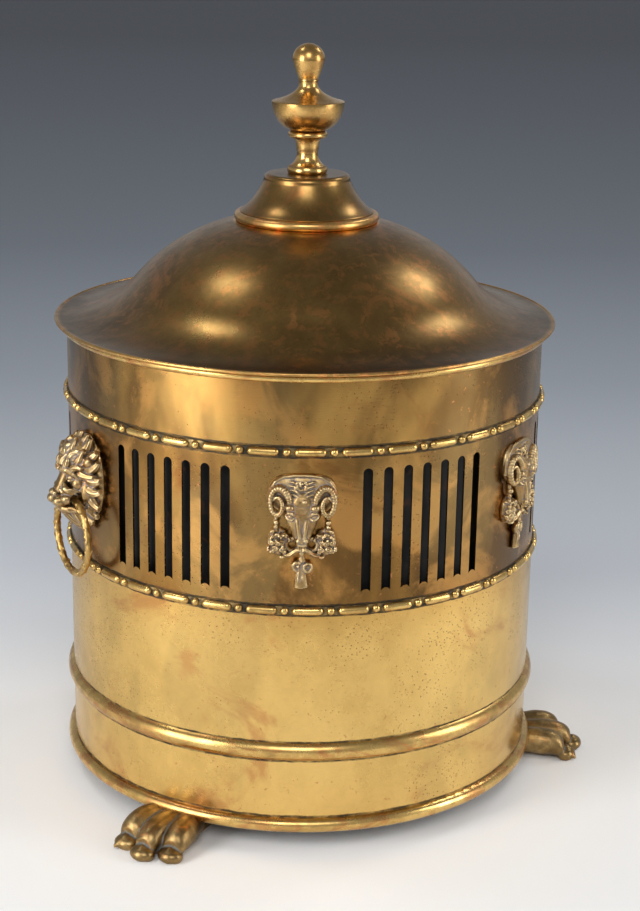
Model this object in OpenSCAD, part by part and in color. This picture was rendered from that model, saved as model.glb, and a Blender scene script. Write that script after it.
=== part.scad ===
// Round brass coal scuttle with a domed lift-off lid, a lift-out iron liner,
// ram and lion mounts, two drop rings and three paw feet.
// Millimetres, +Z up, origin on the floor under the middle of the body.
// Azimuths run from the front (-Y) towards +X.

/* [Body] */
// Outside diameter of the round wall
body_d = 305; // [292:1:320]
// Thickness of the wall's brass sheet
wall_t = 1.2; // [0.8:0.1:1.6]
// Height of the wall, from the middle of the base roll to the top edge
wall_h = 284.1; // [276:0.1:300]
// Height of the middle of the base roll above the floor
base_z = 18.3; // [17:0.1:22]
// Radius of the wired roll round the base
base_roll_r = 4.5; // [3.8:0.1:5.2]
// Radius of the wired roll round the rim
rim_roll_r = 2.4; // [1.8:0.1:3]
// How far the rim roll stands out from the wall
rim_roll_out = 4; // [3:0.1:4.5]
// Thickness of the floor plate
floor_t = 1.2; // [0.8:0.1:2]
// Height of the waist moulding's middle above the base roll
waist_up = 48.6; // [40:0.1:60]
// Width of the waist moulding up the wall
waist_w = 11.3; // [9:0.1:13]
// How far the waist moulding stands out
waist_out = 3.7; // [2.5:0.1:4.5]

/* [Bead strips] */
// Height of the lower strip's middle above the base roll
strip_up = 140.2; // [132:0.1:146]
// Distance between the two strips
strip_gap = 97.5; // [94:0.1:104]
// Width of a strip's backing band
strip_w = 5.4; // [4.6:0.1:6.4]
// Thickness of a strip's backing band
strip_t = 0.6; // [0.4:0.1:1]
// Number of reels, and of beads, in a strip
reel_n = 35; // [30:1:36]
// Length of a reel
reel_l = 18.8; // [14:0.1:19.2]
// Radius of a reel
reel_r = 2.5; // [1.8:0.1:2.6]
// Radius of a bead
bead_r = 2.5; // [1.8:0.1:2.7]
// Azimuth of a bead in the upper strip
upper_turn = -2.7; // [-5:0.1:5]
// Azimuth of a bead in the lower strip
lower_turn = -2.8; // [-5:0.1:5]

/* [Slots] */
// Number of slots in each group
slot_n = 7; // [5:1:7]
// Width of a slot
slot_w = 5.8; // [4.5:0.1:7]
// Length of a slot
slot_l = 76.2; // [60:0.1:80]
// Distance from slot to slot round the wall
slot_pitch = 12.6; // [11:0.1:13]
// Height of the raised arc at the foot of a slot
slot_sill = 1.6; // [0.8:0.1:2]
// Azimuth of the middle of the front group
slot_lead = -1.4; // [-2.5:0.1:2.5]

/* [Mounts] */
// Width of a ram mount
ram_w = 42; // [39:0.5:45]
// How far the ram's muzzle stands out from the wall
ram_out = 11; // [9:0.1:13]
// Height of the middle of a ram mount over the middle of the slots
ram_up = 1.2; // [-1:0.1:3]
// Width of a lion mask
lion_w = 48; // [44:0.5:50]
// How far the lion's nose stands out from the wall
lion_out = 27; // [24:0.1:28]
// Height of the middle of a lion mask over the middle of the slots
lion_up = 6.4; // [5:0.1:9]
// Radius of the studs that hold the mounts
stud_r = 1.6; // [1.2:0.1:2]
// Distance across the flats of a mount's nut
nut_flats = 5.5; // [5:0.1:6]
// Thickness of a mount's nut
nut_t = 2.2; // [1.6:0.1:2.4]

/* [Rings] */
// Radius of a ring, to the middle of its section
ring_r = 24.3; // [22:0.1:25]
// Radius of a ring's section
ring_t = 2.8; // [2.3:0.1:3]
// Distance of a ring's pivot out from the wall
ring_out = 12; // [11.5:0.1:13]
// Height of a ring's pivot below the middle of its mask
ring_down = 10; // [9:0.1:11]
// Clearance round a ring in the lion's mouth
ring_play = 0.4; // [0.3:0.05:0.6]

/* [Feet] */
// Width of a paw over its toes
paw_w = 53; // [50:0.5:56]
// How far the middle toe stands out past the wall
paw_out = 43.5; // [40:0.5:47]
// Distance of the foot screws in from the wall
screw_in = 14.5; // [13:0.1:16]
// Radius of a foot screw
screw_r = 2.5; // [2:0.1:3]
// Length of a foot screw under its head
screw_l = 15; // [10:0.1:16]
// Radius of a foot screw's head
screw_head_r = 4.4; // [3.8:0.1:4.8]
// Height of a foot screw's head
screw_head_h = 2.4; // [1.8:0.1:3]

/* [Liner] */
// Gap between the liner and the wall
liner_gap = 6.3; // [5.8:0.1:8]
// Thickness of the liner's sheet
liner_t = 1; // [0.8:0.1:1.4]
// Distance from the top of the wall down to the liner's top edge
liner_down = 18; // [16:0.5:24]
// Height of the liner's floor over the floor plate
liner_rise = 5; // [4.5:0.1:8]
// Radius of the wire in the liner's rim
liner_roll_r = 1.8; // [1.3:0.1:2]
// Half width of a liner handle, to the middle of its legs
grip_half = 31; // [28:0.5:33]
// Drop of a liner handle below its pivot
grip_drop = 34; // [28:0.5:35]
// Radius of a liner handle's wire
grip_r = 2; // [1.6:0.1:2.3]
// Depth of a handle's pivot below the liner's top edge
grip_down = 20; // [18:0.5:26]
// Running clearance of a handle's pins
pin_clear = 0.1; // [0.05:0.01:0.2]
// Thickness of a handle plate
plate_t = 1.2; // [0.8:0.1:1.6]

/* [Lid] */
// How far the lid's edge stands out past the wall
lid_out = 7.6; // [7:0.1:9]
// Thickness of the lid's sheet
lid_t = 1.2; // [0.8:0.1:1.4]
// Gap between the lid and the rim
lid_gap = 0.3; // [0.2:0.05:0.5]
// Radius of the lid's rolled edge
hem_r = 1.1; // [0.9:0.1:1.3]
// Width of the flat part of the lid's flange
flange_w = 4; // [3:0.1:6]
// Radius of the hollow sweep above the flange
flare_r = 60; // [56:1:66]
// Radius of the lid's dome
dome_r = 116; // [112:1:124]
// Distance of the dome arc's centre from the axis
dome_off = 21.5; // [19:0.5:24]
// Depth of the collar that keeps the lid in place
collar_h = 9; // [6:0.5:12]
// Clearance between the collar and the wall
collar_clear = 0.6; // [0.4:0.05:1]

/* [Crown and finial] */
// Radius of the crown's foot
crown_foot_r = 47.5; // [45:0.5:50]
// Radius of the crown's flat top
crown_top_r = 24; // [22:0.5:26]
// Height of the crown above the dome
crown_h = 30.5; // [28:0.5:34]
// Thickness of the crown's sheet
crown_t = 1.2; // [0.8:0.1:1.6]
// Height of the finial above the crown
finial_h = 80.2; // [74:0.5:88]
// Radius of the urn's rim
urn_r = 22.8; // [20:0.2:25]
// Radius of the knob
knob_r = 10.2; // [9:0.2:11.5]
// Radius of the finial's stud
finial_stud_r = 3; // [2.5:0.1:4]
// Distance across the flats of the finial's nut
finial_nut_flats = 10; // [9:0.5:12]

/* [Hidden] */

$fn = 96;
fine = 180;
eps = 0.01;

brass = "goldenrod";
old_brass = "darkgoldenrod";
cast_brass = "peru";
iron = "dimgray";

// Body levels and radii
body_r = body_d / 2;
wall_in = body_r - wall_t;
wall_top = base_z + wall_h;
floor_z = base_z + base_roll_r;
floor_top = floor_z + floor_t;
waist_z = base_z + waist_up;
strip_low_z = base_z + strip_up;
strip_high_z = strip_low_z + strip_gap;
strip_play = 0.05;
slot_mid_z = (strip_low_z + strip_high_z) / 2;
slot_turn = 360 * slot_pitch / (PI * body_d);
side_n = 6;
side_turn = 360 / side_n;

// Mounts, by azimuth
ram_turns = [-30, 30, 150, -150];
lion_turns = [-90, 90];
ram_z = slot_mid_z + ram_up;
lion_z = slot_mid_z + lion_up;
ram_scale = ram_w / 42;
lion_scale = lion_w / 46;
ram_h = 70 * ram_scale;
lion_h = 63 * lion_scale;
ram_stud_up = [19, -13] * ram_scale;
lion_stud_up = [17, -20] * lion_scale;
stud_in = wall_t + nut_t + 0.5;
stud_root = 2.5;
stud_hole_r = stud_r + 0.15;
nut_r = nut_flats / 2 / cos(30);
horn_r = 5.8;
horn_t = 2.9;
muzzle_r = 5.4;
mane_r = 6.2;
jaw_r = 7;
bridge_w = 14;
nut_seat = body_r - sqrt(pow(wall_in, 2) - pow(nut_r, 2));

// Rings
ring_z = lion_z - ring_down;
muzzle_half = 10;

// Feet
foot_turns = [-60, 60, 180];
paw_reach = body_r + paw_out;
screw_at = body_r - screw_in;
screw_hole_r = screw_r + 0.2;
toe_r = paw_w / 6.2;
toe_lean = 6;
side_toe_back = 8;
claw_drop = 12;
claw_tip_r = 0.8;
sole_t = 4;
lug_w = 26;
lug_back = 8;

// Liner
liner_r = wall_in - liner_gap;
liner_in = liner_r - liner_t;
liner_top = wall_top - liner_down;
liner_floor_z = floor_top + liner_rise;
plate_in = liner_in - plate_t;
grip_z = liner_top - grip_down;
knuckle_gap = 1;
knuckle_w = 6;
knuckle_wall = 1.6;
knuckle_r = grip_r + pin_clear + knuckle_wall;
knuckle_0 = grip_half + grip_r + knuckle_gap;
knuckle_1 = knuckle_0 + knuckle_w;
plate_half = knuckle_1 + 10;
plate_h = 16;
grip_x = sqrt(pow(plate_in, 2) - pow(knuckle_1, 2)) - knuckle_r;
rivet_r = 1.6;
rivet_head_r = 3;
rivet_head_h = 1.1;
rivet_turn = asin((knuckle_1 + 5) / liner_in);

// Lid
lid_r = body_r + lid_out;
lid_under = wall_top + lid_gap;
flange_z = lid_under + lid_t;
flare_at = [lid_r - flange_w, flange_z + flare_r];
dome_at = [
  dome_off,
  flare_at[1] - sqrt(pow(flare_r + dome_r, 2) - pow(flare_at[0] - dome_off, 2))
];
sweep_turn = asin((flare_at[0] - dome_off) / (flare_r + dome_r));
dome_top_r = crown_foot_r - 3.5;
top_turn = asin((dome_top_r - dome_off) / dome_r);
dome_top = dome_at[1] + dome_r * cos(top_turn);
collar_r = wall_in - collar_clear;
crown_base = dome_at[1] + sqrt(pow(dome_r, 2) - pow(crown_foot_r - dome_off, 2));
crown_top = crown_base + crown_h;
collar_t = 1.2;
finial_hole_r = finial_stud_r + 0.2;
washer_r = 8;
washer_t = 1;
finial_nut_h = 5;
dome_under = dome_top - lid_t;
stud_end = dome_under - washer_t - finial_nut_h - 2;
full_finial = 80.2;
full_knob = 70.2;
stretch = finial_h / full_finial;
knob_z = crown_top + full_knob * stretch;

// Points on a circle round c, from angle a to angle b, in n steps
function arc(c, r, a, b, n) =
  [for (i = [0:n]) let (t = a + (b - a) * i / n) c + r * [cos(t), sin(t)]];

// Points on a curve from p to q that leans towards c
function bend(p, c, q, n = 8) =
  [for (i = [0:n]) let (t = i / n) p * pow(1 - t, 2) + c * 2 * t * (1 - t) + q * pow(t, 2)];

function reversed(list) = [for (i = [len(list) - 1:-1:0]) list[i]];

// Height of the lid's underside within its hollow sweep
function sweep_under(r) =
  flare_at[1] - sqrt(pow(flare_r + lid_t, 2) - pow(flare_at[0] - r, 2));

module tube(outer, thick, z0, z1) {
  translate([0, 0, z0])
    difference() {
      cylinder(r = outer, h = z1 - z0, $fn = fine);
      translate([0, 0, -1])
        cylinder(r = outer - thick, h = z1 - z0 + 2, $fn = fine);
    }
}

module disc(r, z0, z1) {
  translate([0, 0, z0])
    cylinder(r = r, h = z1 - z0, $fn = fine);
}

module roll_section(major, minor, z) {
  translate([major, z])
    circle(r = minor, $fn = 48);
}

// A wired roll, opened downwards or upwards for the sheet that it holds
module roll(major, minor, z, sheet_in, sheet_t, sheet_z) {
  rotate_extrude($fn = fine)
    difference() {
      roll_section(major, minor, z);
      translate([sheet_in, sheet_z])
        square([sheet_t, 2 * minor]);
    }
}

// Places its children at azimuth az and height z on the wall: x round, y up, z out
module on_wall(az, z) {
  rotate([0, 0, az])
    translate([0, -body_r, z])
      rotate([90, 0, 0])
        children();
}

module mirrored() {
  children();
  mirror([1, 0, 0])
    children();
}

// Everything inside the wall's outer face, to seat a mount on it
module wall_core(z) {
  rotate([-90, 0, 0])
    translate([0, body_r, -z])
      cylinder(r = body_r, h = 2 * z, $fn = fine);
}

// A rod with round ends from p to q
module rod(p, q, r) {
  d = q - p;
  l = norm(d);
  translate(p)
    rotate([0, acos(d[2] / l), atan2(d[1], d[0])])
      rotate_extrude($fn = 32)
        intersection() {
          union() {
            circle(r = r, $fn = 32);
            translate([0, l])
              circle(r = r, $fn = 32);
            square([r, l]);
          }
          translate([0, -r])
            square([r, l + 2 * r]);
        }
}

// Body ----------------------------------------------------------------------

module slot_shape() {
  sill_r = (pow(slot_w / 2, 2) + pow(slot_sill, 2)) / (2 * slot_sill);
  difference() {
    union() {
      translate([-slot_w / 2, 0])
        square([slot_w, slot_l - slot_w / 2]);
      translate([0, slot_l - slot_w / 2])
        circle(d = slot_w, $fn = 48);
    }
    translate([0, slot_sill - sill_r])
      circle(r = sill_r, $fn = 48);
  }
}

module slots() {
  for (side = [0:side_n - 1])
    for (i = [0:slot_n - 1])
      on_wall(slot_lead + side * side_turn + (i - (slot_n - 1) / 2) * slot_turn, slot_mid_z - slot_l / 2)
        translate([0, 0, -wall_t - 2])
          linear_extrude(wall_t + 4)
            slot_shape();
}

module stud_holes(turns, z, heights) {
  for (az = turns)
    for (up = heights)
      on_wall(az, z + up)
        translate([0, 0, -wall_t - 2])
          cylinder(r = stud_hole_r, h = wall_t + 4, $fn = 32);
}

module body_wall() {
  color(brass)
    difference() {
      tube(body_r, wall_t, base_z, wall_top);
      slots();
      stud_holes(ram_turns, ram_z, ram_stud_up);
      stud_holes(lion_turns, lion_z, lion_stud_up);
    }
}

module rim_roll() {
  major = body_r + rim_roll_out - rim_roll_r;
  sheet = 2 * rim_roll_r;
  color(old_brass)
    roll(major, rim_roll_r, wall_top - rim_roll_r, body_r - sheet, sheet, wall_top - 2 * rim_roll_r);
}

module base_roll() {
  color(brass)
    roll(body_r, base_roll_r, base_z, wall_in, wall_t, base_z);
}

module waist_moulding() {
  round_r = (pow(waist_w / 2, 2) + pow(waist_out, 2)) / (2 * waist_out);
  color(brass)
    rotate_extrude($fn = fine)
      intersection() {
        translate([body_r + waist_out - round_r, waist_z])
          circle(r = round_r, $fn = 64);
        translate([body_r, waist_z - waist_w])
          square(2 * waist_w);
      }
}

// Band with reels and beads raised on it in turn
module bead_strip(z, turn) {
  step = 360 / reel_n;
  axis_r = body_r + strip_play + strip_t;
  reel_turn = 180 * reel_l / (PI * axis_r);
  rotate_extrude($fn = fine)
    translate([body_r + strip_play, z - strip_w / 2])
      square([strip_t, strip_w]);
  for (i = [0:reel_n - 1])
    rotate([0, 0, turn + i * step]) {
      translate([0, -axis_r, z])
        bead();
      rotate([0, 0, (step - reel_turn) / 2 - 90])
        rotate_extrude(angle = reel_turn, $fn = fine)
          intersection() {
            translate([axis_r, z])
              circle(r = reel_r, $fn = 32);
            translate([axis_r - strip_t / 2, z - 2 * reel_r])
              square(4 * reel_r);
          }
    }
}

// A round bead that stands out towards the front
module bead() {
  root = strip_t / 2;
  rotate([90, 0, 0])
    rotate_extrude($fn = 32)
      intersection() {
        circle(r = bead_r, $fn = 32);
        translate([0, -root])
          square([bead_r, bead_r + root]);
      }
}

module upper_bead_strip() {
  color(brass)
    bead_strip(strip_high_z, upper_turn);
}

module lower_bead_strip() {
  color(brass)
    bead_strip(strip_low_z, lower_turn);
}

module floor_plate() {
  color(iron)
    difference() {
      disc(wall_in, floor_z, floor_top);
      for (az = foot_turns)
        rotate([0, 0, az])
          translate([0, -screw_at, floor_z - 1])
            cylinder(r = screw_hole_r, h = floor_t + 2, $fn = 32);
    }
}

// Feet ----------------------------------------------------------------------

// One toe of a paw, knuckle, pad and claw, whose tip is at x and reach
module toe(x, reach, lean) {
  pad_y = toe_r * 1.7;
  pad_z = toe_r * 0.72;
  knuckle_y = toe_r * 2.9;
  knuckle_z = toe_r * 1.15;
  claw_l = toe_r * 1.35;
  translate([x, -reach, 0])
    rotate([0, 0, lean]) {
      rod([0, knuckle_y, knuckle_z], [0, pad_y, pad_z], toe_r);
      translate([0, claw_l + 0.5, pad_z / 2])
        rotate([90 + claw_drop, 0, 0])
          cylinder(r1 = toe_r * 0.62, r2 = claw_tip_r, h = claw_l, $fn = 32);
    }
}

module paw() {
  toe_x = paw_w / 2 - toe_r;
  instep_r = base_z / 2;
  heel = screw_at - lug_back;
  difference() {
    intersection() {
      union() {
        toe(0, paw_reach, 0);
        mirrored()
          toe(toe_x, paw_reach - side_toe_back, toe_lean);
        // instep, falling from the base roll to the toes
        rod([0, instep_r - body_r, instep_r - 1], [0, 3 * toe_r - paw_reach, toe_r * 1.2], instep_r);
        mirrored()
          rod([toe_x / 2, instep_r - body_r, instep_r - 2],
            [toe_x - 2, 3.5 * toe_r - paw_reach, toe_r * 1.1], instep_r - 1);
        // flat sole
        linear_extrude(sole_t)
          polygon([
            [-lug_w / 2, -heel], [-lug_w / 2, -body_r],
            [-toe_x - toe_r / 2, 2.6 * toe_r - paw_reach],
            [-toe_x, 1.6 * toe_r - paw_reach], [0, 0.7 * toe_r - paw_reach],
            [toe_x, 1.6 * toe_r - paw_reach],
            [toe_x + toe_r / 2, 2.6 * toe_r - paw_reach],
            [lug_w / 2, -body_r], [lug_w / 2, -heel]
          ]);
        // lug that the screw holds under the floor plate
        translate([-lug_w / 2, -(wall_in - 2), 0])
          cube([lug_w, wall_in - 2 - heel, floor_z]);
      }
      translate([-paw_w, -paw_reach - toe_r, 0])
        cube([2 * paw_w, paw_reach + toe_r, floor_z]);
    }
    rotate_extrude($fn = fine)
      roll_section(body_r, base_roll_r, base_z);
    tube(body_r, wall_t + 1, base_z, floor_z + 1);
    translate([0, -screw_at, floor_top - screw_l])
      cylinder(r = screw_r, h = screw_l, $fn = 32);
  }
}

module paw_foot(i) {
  color(cast_brass)
    rotate([0, 0, foot_turns[i]])
      paw();
}

module paw_foot_left() {
  paw_foot(0);
}

module paw_foot_right() {
  paw_foot(1);
}

module paw_foot_back() {
  paw_foot(2);
}

module foot_screws() {
  color(iron)
    for (az = foot_turns)
      rotate([0, 0, az])
        translate([0, -screw_at, 0]) {
          translate([0, 0, floor_top - screw_l])
            cylinder(r = screw_r, h = screw_l + eps, $fn = 32);
          translate([0, 0, floor_top])
            cylinder(r = screw_head_r, h = screw_head_h, $fn = 32);
        }
}

// Mounts --------------------------------------------------------------------

module studs(heights) {
  for (up = heights)
    translate([0, up, -stud_in])
      cylinder(r = stud_r, h = stud_in + stud_root, $fn = 32);
}

module horn(x, y) {
  translate([x, y, horn_t - 0.3])
    rotate_extrude($fn = 48)
      translate([horn_r, 0])
        circle(r = horn_t, $fn = 32);
}

// A cluster of round fruit
module cluster(x, y) {
  for (p = [[0, 3.4, 3.6], [-3.6, -0.4, 3.9], [3.4, -0.6, 3.9], [0.4, -4.8, 3.7], [0, -0.6, 4.4]])
    translate([x + p[0], y + p[1], 0.8])
      sphere(r = p[2], $fn = 24);
}

// Ram's head over a swag and a bow, drawn 42 wide and 70 high, with its muzzle out by out
module ram_drawing(out) {
  low = -35;
  high = 35;
  snout_z = out - muzzle_r;
  // cap plate behind the horns
  translate([0, 0, -2])
    linear_extrude(4)
      intersection() {
        translate([0, high - 21])
          circle(r = 21, $fn = 64);
        translate([-19.5, high - 17])
          square([39, 18]);
      }
  mirrored()
    horn(12.4, high - 16.6);
  // brow, head and muzzle
  translate([0, high - 13, -1])
    sphere(r = 8.6, $fn = 32);
  mirrored()
    translate([6.2, high - 21.5, 3.4])
      sphere(r = 3, $fn = 24);
  rod([0, high - 22, 2.6], [0, high - 36, snout_z], muzzle_r);
  rod([0, high - 36, snout_z], [0, high - 39, snout_z], muzzle_r - 1);
  // links from the horns to the fruit
  mirrored()
    rod([16, high - 25, 1.2], [15.4, high - 34, 1.2], 1.9);
  mirrored()
    cluster(14.6, -7.5);
  // swag and bow
  mirrored()
    rod([9, -13.5, 1], [0, -10.5, 1.6], 2.2);
  rod([0, -10, 1], [0, low + 11, 1.2], 2.6);
  mirrored()
    translate([4.1, low + 12, 1.4])
      rotate_extrude($fn = 32)
        translate([2.4, 0])
          circle(r = 1.6, $fn = 24);
  translate([0, 0, -1])
    linear_extrude(3)
      polygon([
        [-2.6, low + 12], [-4, low], [0, low + 3.4], [4, low], [2.6, low + 12]
      ]);
}

module ram_mount_shape() {
  difference() {
    scale(ram_scale)
      ram_drawing(ram_out / ram_scale);
    wall_core(ram_h);
  }
}

module ram_mount(i) {
  color(cast_brass)
    on_wall(ram_turns[i], ram_z) {
      ram_mount_shape();
      studs(ram_stud_up);
    }
}

module ram_mount_front_left() {
  ram_mount(0);
}

module ram_mount_front_right() {
  ram_mount(1);
}

module ram_mount_back_right() {
  ram_mount(2);
}

module ram_mount_back_left() {
  ram_mount(3);
}

// Curls of the mane, in rings round the face
module mane() {
  for (i = [0:13])
    let (a = 90 + (i - 6.5) * 20)
      translate([16.8 * cos(a), 3 + 22.3 * sin(a), 1.5])
        sphere(r = mane_r, $fn = 24);
  for (i = [0:8])
    let (a = 90 + (i - 4) * 27)
      translate([12.5 * cos(a), 4 + 17 * sin(a), 5])
        sphere(r = 6.4, $fn = 24);
}

// Lion's head, drawn 46 wide and 63 high, with its nose out by out and
// its mouth at mouth_y, round a ring that passes at way
module lion_drawing(out, mouth_y, way) {
  muzzle_z = out - 7.5;
  mane();
  // skull, brow, nose and muzzle
  translate([0, 2, 0])
    sphere(r = 15.5, $fn = 48);
  mirrored()
    translate([6, 9, 11.6])
      sphere(r = 4.2, $fn = 24);
  rod([0, 7, 13], [0, -2.5, muzzle_z + 2.3], 4.4);
  translate([0, -2.5, out - 3.6])
    sphere(r = 3.6, $fn = 24);
  mirrored()
    rod([4.4, -4.5, muzzle_z], [5, mouth_y + 1, way + 0.5], 4.9);
  // jaw below the mouth
  rod([0, mouth_y - 4, 3], [0, mouth_y - 7.5, way + 2], jaw_r);
  mirrored()
    rod([0, mouth_y - 9, 4], [2, -24.5, 3], 6.6);
}

// Room that the curve of a turning ring needs round its pivot, at x from the middle
function way_r(x) = ring_r + ring_play - sqrt(pow(ring_r - ring_t, 2) - pow(x, 2));

// The ring's way through the mouth, close to it in the middle and wider to the sides
module ring_way() {
  wide_r = way_r(muzzle_half);
  translate([0, -ring_down, ring_out])
    rotate([0, 90, 0])
      rotate_extrude($fn = 48)
        polygon(concat(
          [[0, -lion_w], [wide_r, -lion_w]],
          [for (x = [-muzzle_half:2:muzzle_half]) [way_r(x), x]],
          [[wide_r, lion_w], [0, lion_w]]
        ));
}

module lion_mask_shape() {
  difference() {
    union() {
      scale(lion_scale)
        lion_drawing(lion_out / lion_scale, -ring_down / lion_scale, ring_out / lion_scale);
      // bridge between the jaws behind the ring
      translate([-bridge_w / 2, -ring_down - bridge_w / 2, -1])
        cube([bridge_w, bridge_w, ring_out]);
    }
    wall_core(lion_h);
    ring_way();
  }
}

module lion_mask(i) {
  color(cast_brass)
    on_wall(lion_turns[i], lion_z) {
      lion_mask_shape();
      studs(lion_stud_up);
    }
}

module lion_mask_left() {
  lion_mask(0);
}

module lion_mask_right() {
  lion_mask(1);
}

module nut(r, thick, hole) {
  difference() {
    cylinder(r = r, h = thick, $fn = 6);
    translate([0, 0, -1])
      cylinder(r = hole, h = thick + 2, $fn = 32);
  }
}

module nuts_at(turns, z, heights) {
  for (az = turns)
    for (up = heights)
      on_wall(az, z + up)
        translate([0, 0, -nut_seat - nut_t])
          nut(nut_r, nut_t, stud_r);
}

module mount_nuts() {
  color(brass) {
    nuts_at(ram_turns, ram_z, ram_stud_up);
    nuts_at(lion_turns, lion_z, lion_stud_up);
  }
}

module ring(i) {
  color(cast_brass)
    on_wall(lion_turns[i], ring_z)
      translate([0, -ring_r, ring_out])
        rotate_extrude($fn = 96)
          translate([ring_r, 0])
            circle(r = ring_t, $fn = 32);
}

module ring_left() {
  ring(0);
}

module ring_right() {
  ring(1);
}

// Liner ---------------------------------------------------------------------

module liner_wall() {
  color(iron)
    difference() {
      tube(liner_r, liner_t, floor_top, liner_top);
      for (side = [90, -90])
        for (turn = [rivet_turn, -rivet_turn])
          rotate([0, 0, side + turn])
            translate([0, 0, grip_z])
              rotate([90, 0, 0])
                cylinder(r = rivet_r, h = liner_r + 1, $fn = 32);
    }
}

module liner_floor() {
  color(iron)
    disc(liner_in, liner_floor_z, liner_floor_z + liner_t);
}

module liner_rim() {
  major = liner_r - liner_t / 2;
  color(iron)
    roll(major, liner_roll_r, liner_top, liner_in, liner_t, liner_top - 2 * liner_roll_r);
}

// Plate inside the liner with two knuckles for a handle's pins, at the front
module handle_plate() {
  difference() {
    union() {
      intersection() {
        tube(liner_in, plate_t, grip_z - plate_h / 2, grip_z + plate_h / 2);
        translate([-plate_half, -body_r, grip_z - plate_h])
          cube([2 * plate_half, body_r, 2 * plate_h]);
      }
      intersection() {
        mirrored() {
          translate([knuckle_0, -grip_x, grip_z])
            rotate([0, 90, 0])
              cylinder(r = knuckle_r, h = knuckle_w, $fn = 48);
          translate([knuckle_0, -liner_in, grip_z - knuckle_r * 0.8])
            cube([knuckle_w, liner_in - grip_x - grip_r - pin_clear, knuckle_r * 1.6]);
        }
        disc(liner_in, grip_z - plate_h, grip_z + plate_h);
      }
    }
    translate([-plate_half, -grip_x, grip_z])
      rotate([0, 90, 0])
        cylinder(r = grip_r + pin_clear, h = 2 * plate_half, $fn = 48);
    for (turn = [rivet_turn, -rivet_turn])
      rotate([0, 0, turn])
        translate([0, 0, grip_z])
          rotate([90, 0, 0])
            cylinder(r = rivet_r, h = liner_r + 1, $fn = 32);
  }
}

module handle_plate_left() {
  color(iron)
    rotate([0, 0, -90])
      handle_plate();
}

module handle_plate_right() {
  color(iron)
    rotate([0, 0, 90])
      handle_plate();
}

module plate_rivets() {
  inner_head = sqrt(pow(plate_in, 2) - pow(rivet_head_r, 2));
  color(iron)
    for (side = [90, -90])
      for (turn = [rivet_turn, -rivet_turn])
        rotate([0, 0, side + turn])
          translate([0, 0, grip_z])
            rotate([90, 0, 0]) {
              translate([0, 0, inner_head - rivet_head_h])
                cylinder(r = rivet_head_r, h = rivet_head_h, $fn = 32);
              translate([0, 0, inner_head - eps])
                cylinder(r = rivet_r, h = liner_r - inner_head + 2 * eps, $fn = 32);
              translate([0, 0, liner_r])
                cylinder(r = rivet_head_r, h = rivet_head_h, $fn = 32);
            }
}

// Wire handle that hangs from its two pins, at the front
module liner_handle() {
  corner_r = grip_r * 1.05;
  translate([0, -grip_x, grip_z]) {
    mirrored() {
      translate([grip_half, 0, -grip_drop]) {
        cylinder(r = grip_r, h = grip_drop, $fn = 32);
        sphere(r = corner_r, $fn = 32);
      }
      translate([grip_half, 0, 0]) {
        sphere(r = corner_r, $fn = 32);
        rotate([0, 90, 0])
          cylinder(r = grip_r, h = knuckle_1 + 1 - grip_half, $fn = 32);
      }
    }
    translate([-grip_half, 0, -grip_drop])
      rotate([0, 90, 0])
        cylinder(r = grip_r, h = 2 * grip_half, $fn = 32);
  }
}

module liner_handle_left() {
  color(iron)
    rotate([0, 0, -90])
      liner_handle();
}

module liner_handle_right() {
  color(iron)
    rotate([0, 0, 90])
      liner_handle();
}

// Lid -----------------------------------------------------------------------

// One face of the lid's sheet, lowered by g, from the flange to the crown's hole
function lid_face(g) = concat(
  [[lid_r - hem_r, flange_z - g]],
  arc(flare_at, flare_r + g, 270, 270 - sweep_turn, 16),
  arc(dome_at, dome_r - g, 90 - sweep_turn, 90 - top_turn, 18),
  [[finial_hole_r, dome_top - g]]
);

module lid_dome() {
  color(old_brass) {
    rotate_extrude($fn = fine)
      polygon(concat(lid_face(0), reversed(lid_face(lid_t))));
    rotate_extrude($fn = fine)
      roll_section(lid_r - hem_r, hem_r, flange_z - lid_t / 2 + eps);
  }
}

module lid_collar() {
  collar_in = collar_r - collar_t;
  color(brass)
    rotate_extrude($fn = fine)
      polygon([
        [collar_in, wall_top - collar_h], [collar_r, wall_top - collar_h],
        [collar_r, sweep_under(collar_r)], [collar_in, sweep_under(collar_in)]
      ]);
}

// The crown's outer face from its bead up, moved in by g
function crown_face(g) = concat(
  bend(
    [crown_foot_r - 4.4 - g, crown_base + 3.4],
    [crown_top_r + 6.4 - g, crown_base + 14],
    [crown_top_r + 3.2 - g, crown_top - 3.4], 10
  ),
  arc([crown_top_r, crown_top - 3.2], 3.2 - min(g, 2.8), 0, 90, 5)
);

module lid_crown() {
  // the foot follows the dome
  function on_dome(r) = dome_at[1] + sqrt(pow(dome_r, 2) - pow(r - dome_off, 2));
  color(old_brass)
    rotate_extrude($fn = fine)
      polygon(concat(
        [for (r = [crown_foot_r - 5.6, crown_foot_r - 3.5, crown_foot_r - 1.2]) [r, on_dome(r)]],
        arc([crown_foot_r - 2.4, crown_base + 1.9], 2.2, -30, 150, 10),
        crown_face(0),
        [[finial_hole_r, crown_top], [finial_hole_r, crown_top - crown_t]],
        reversed(crown_face(crown_t))
      ));
}

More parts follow.
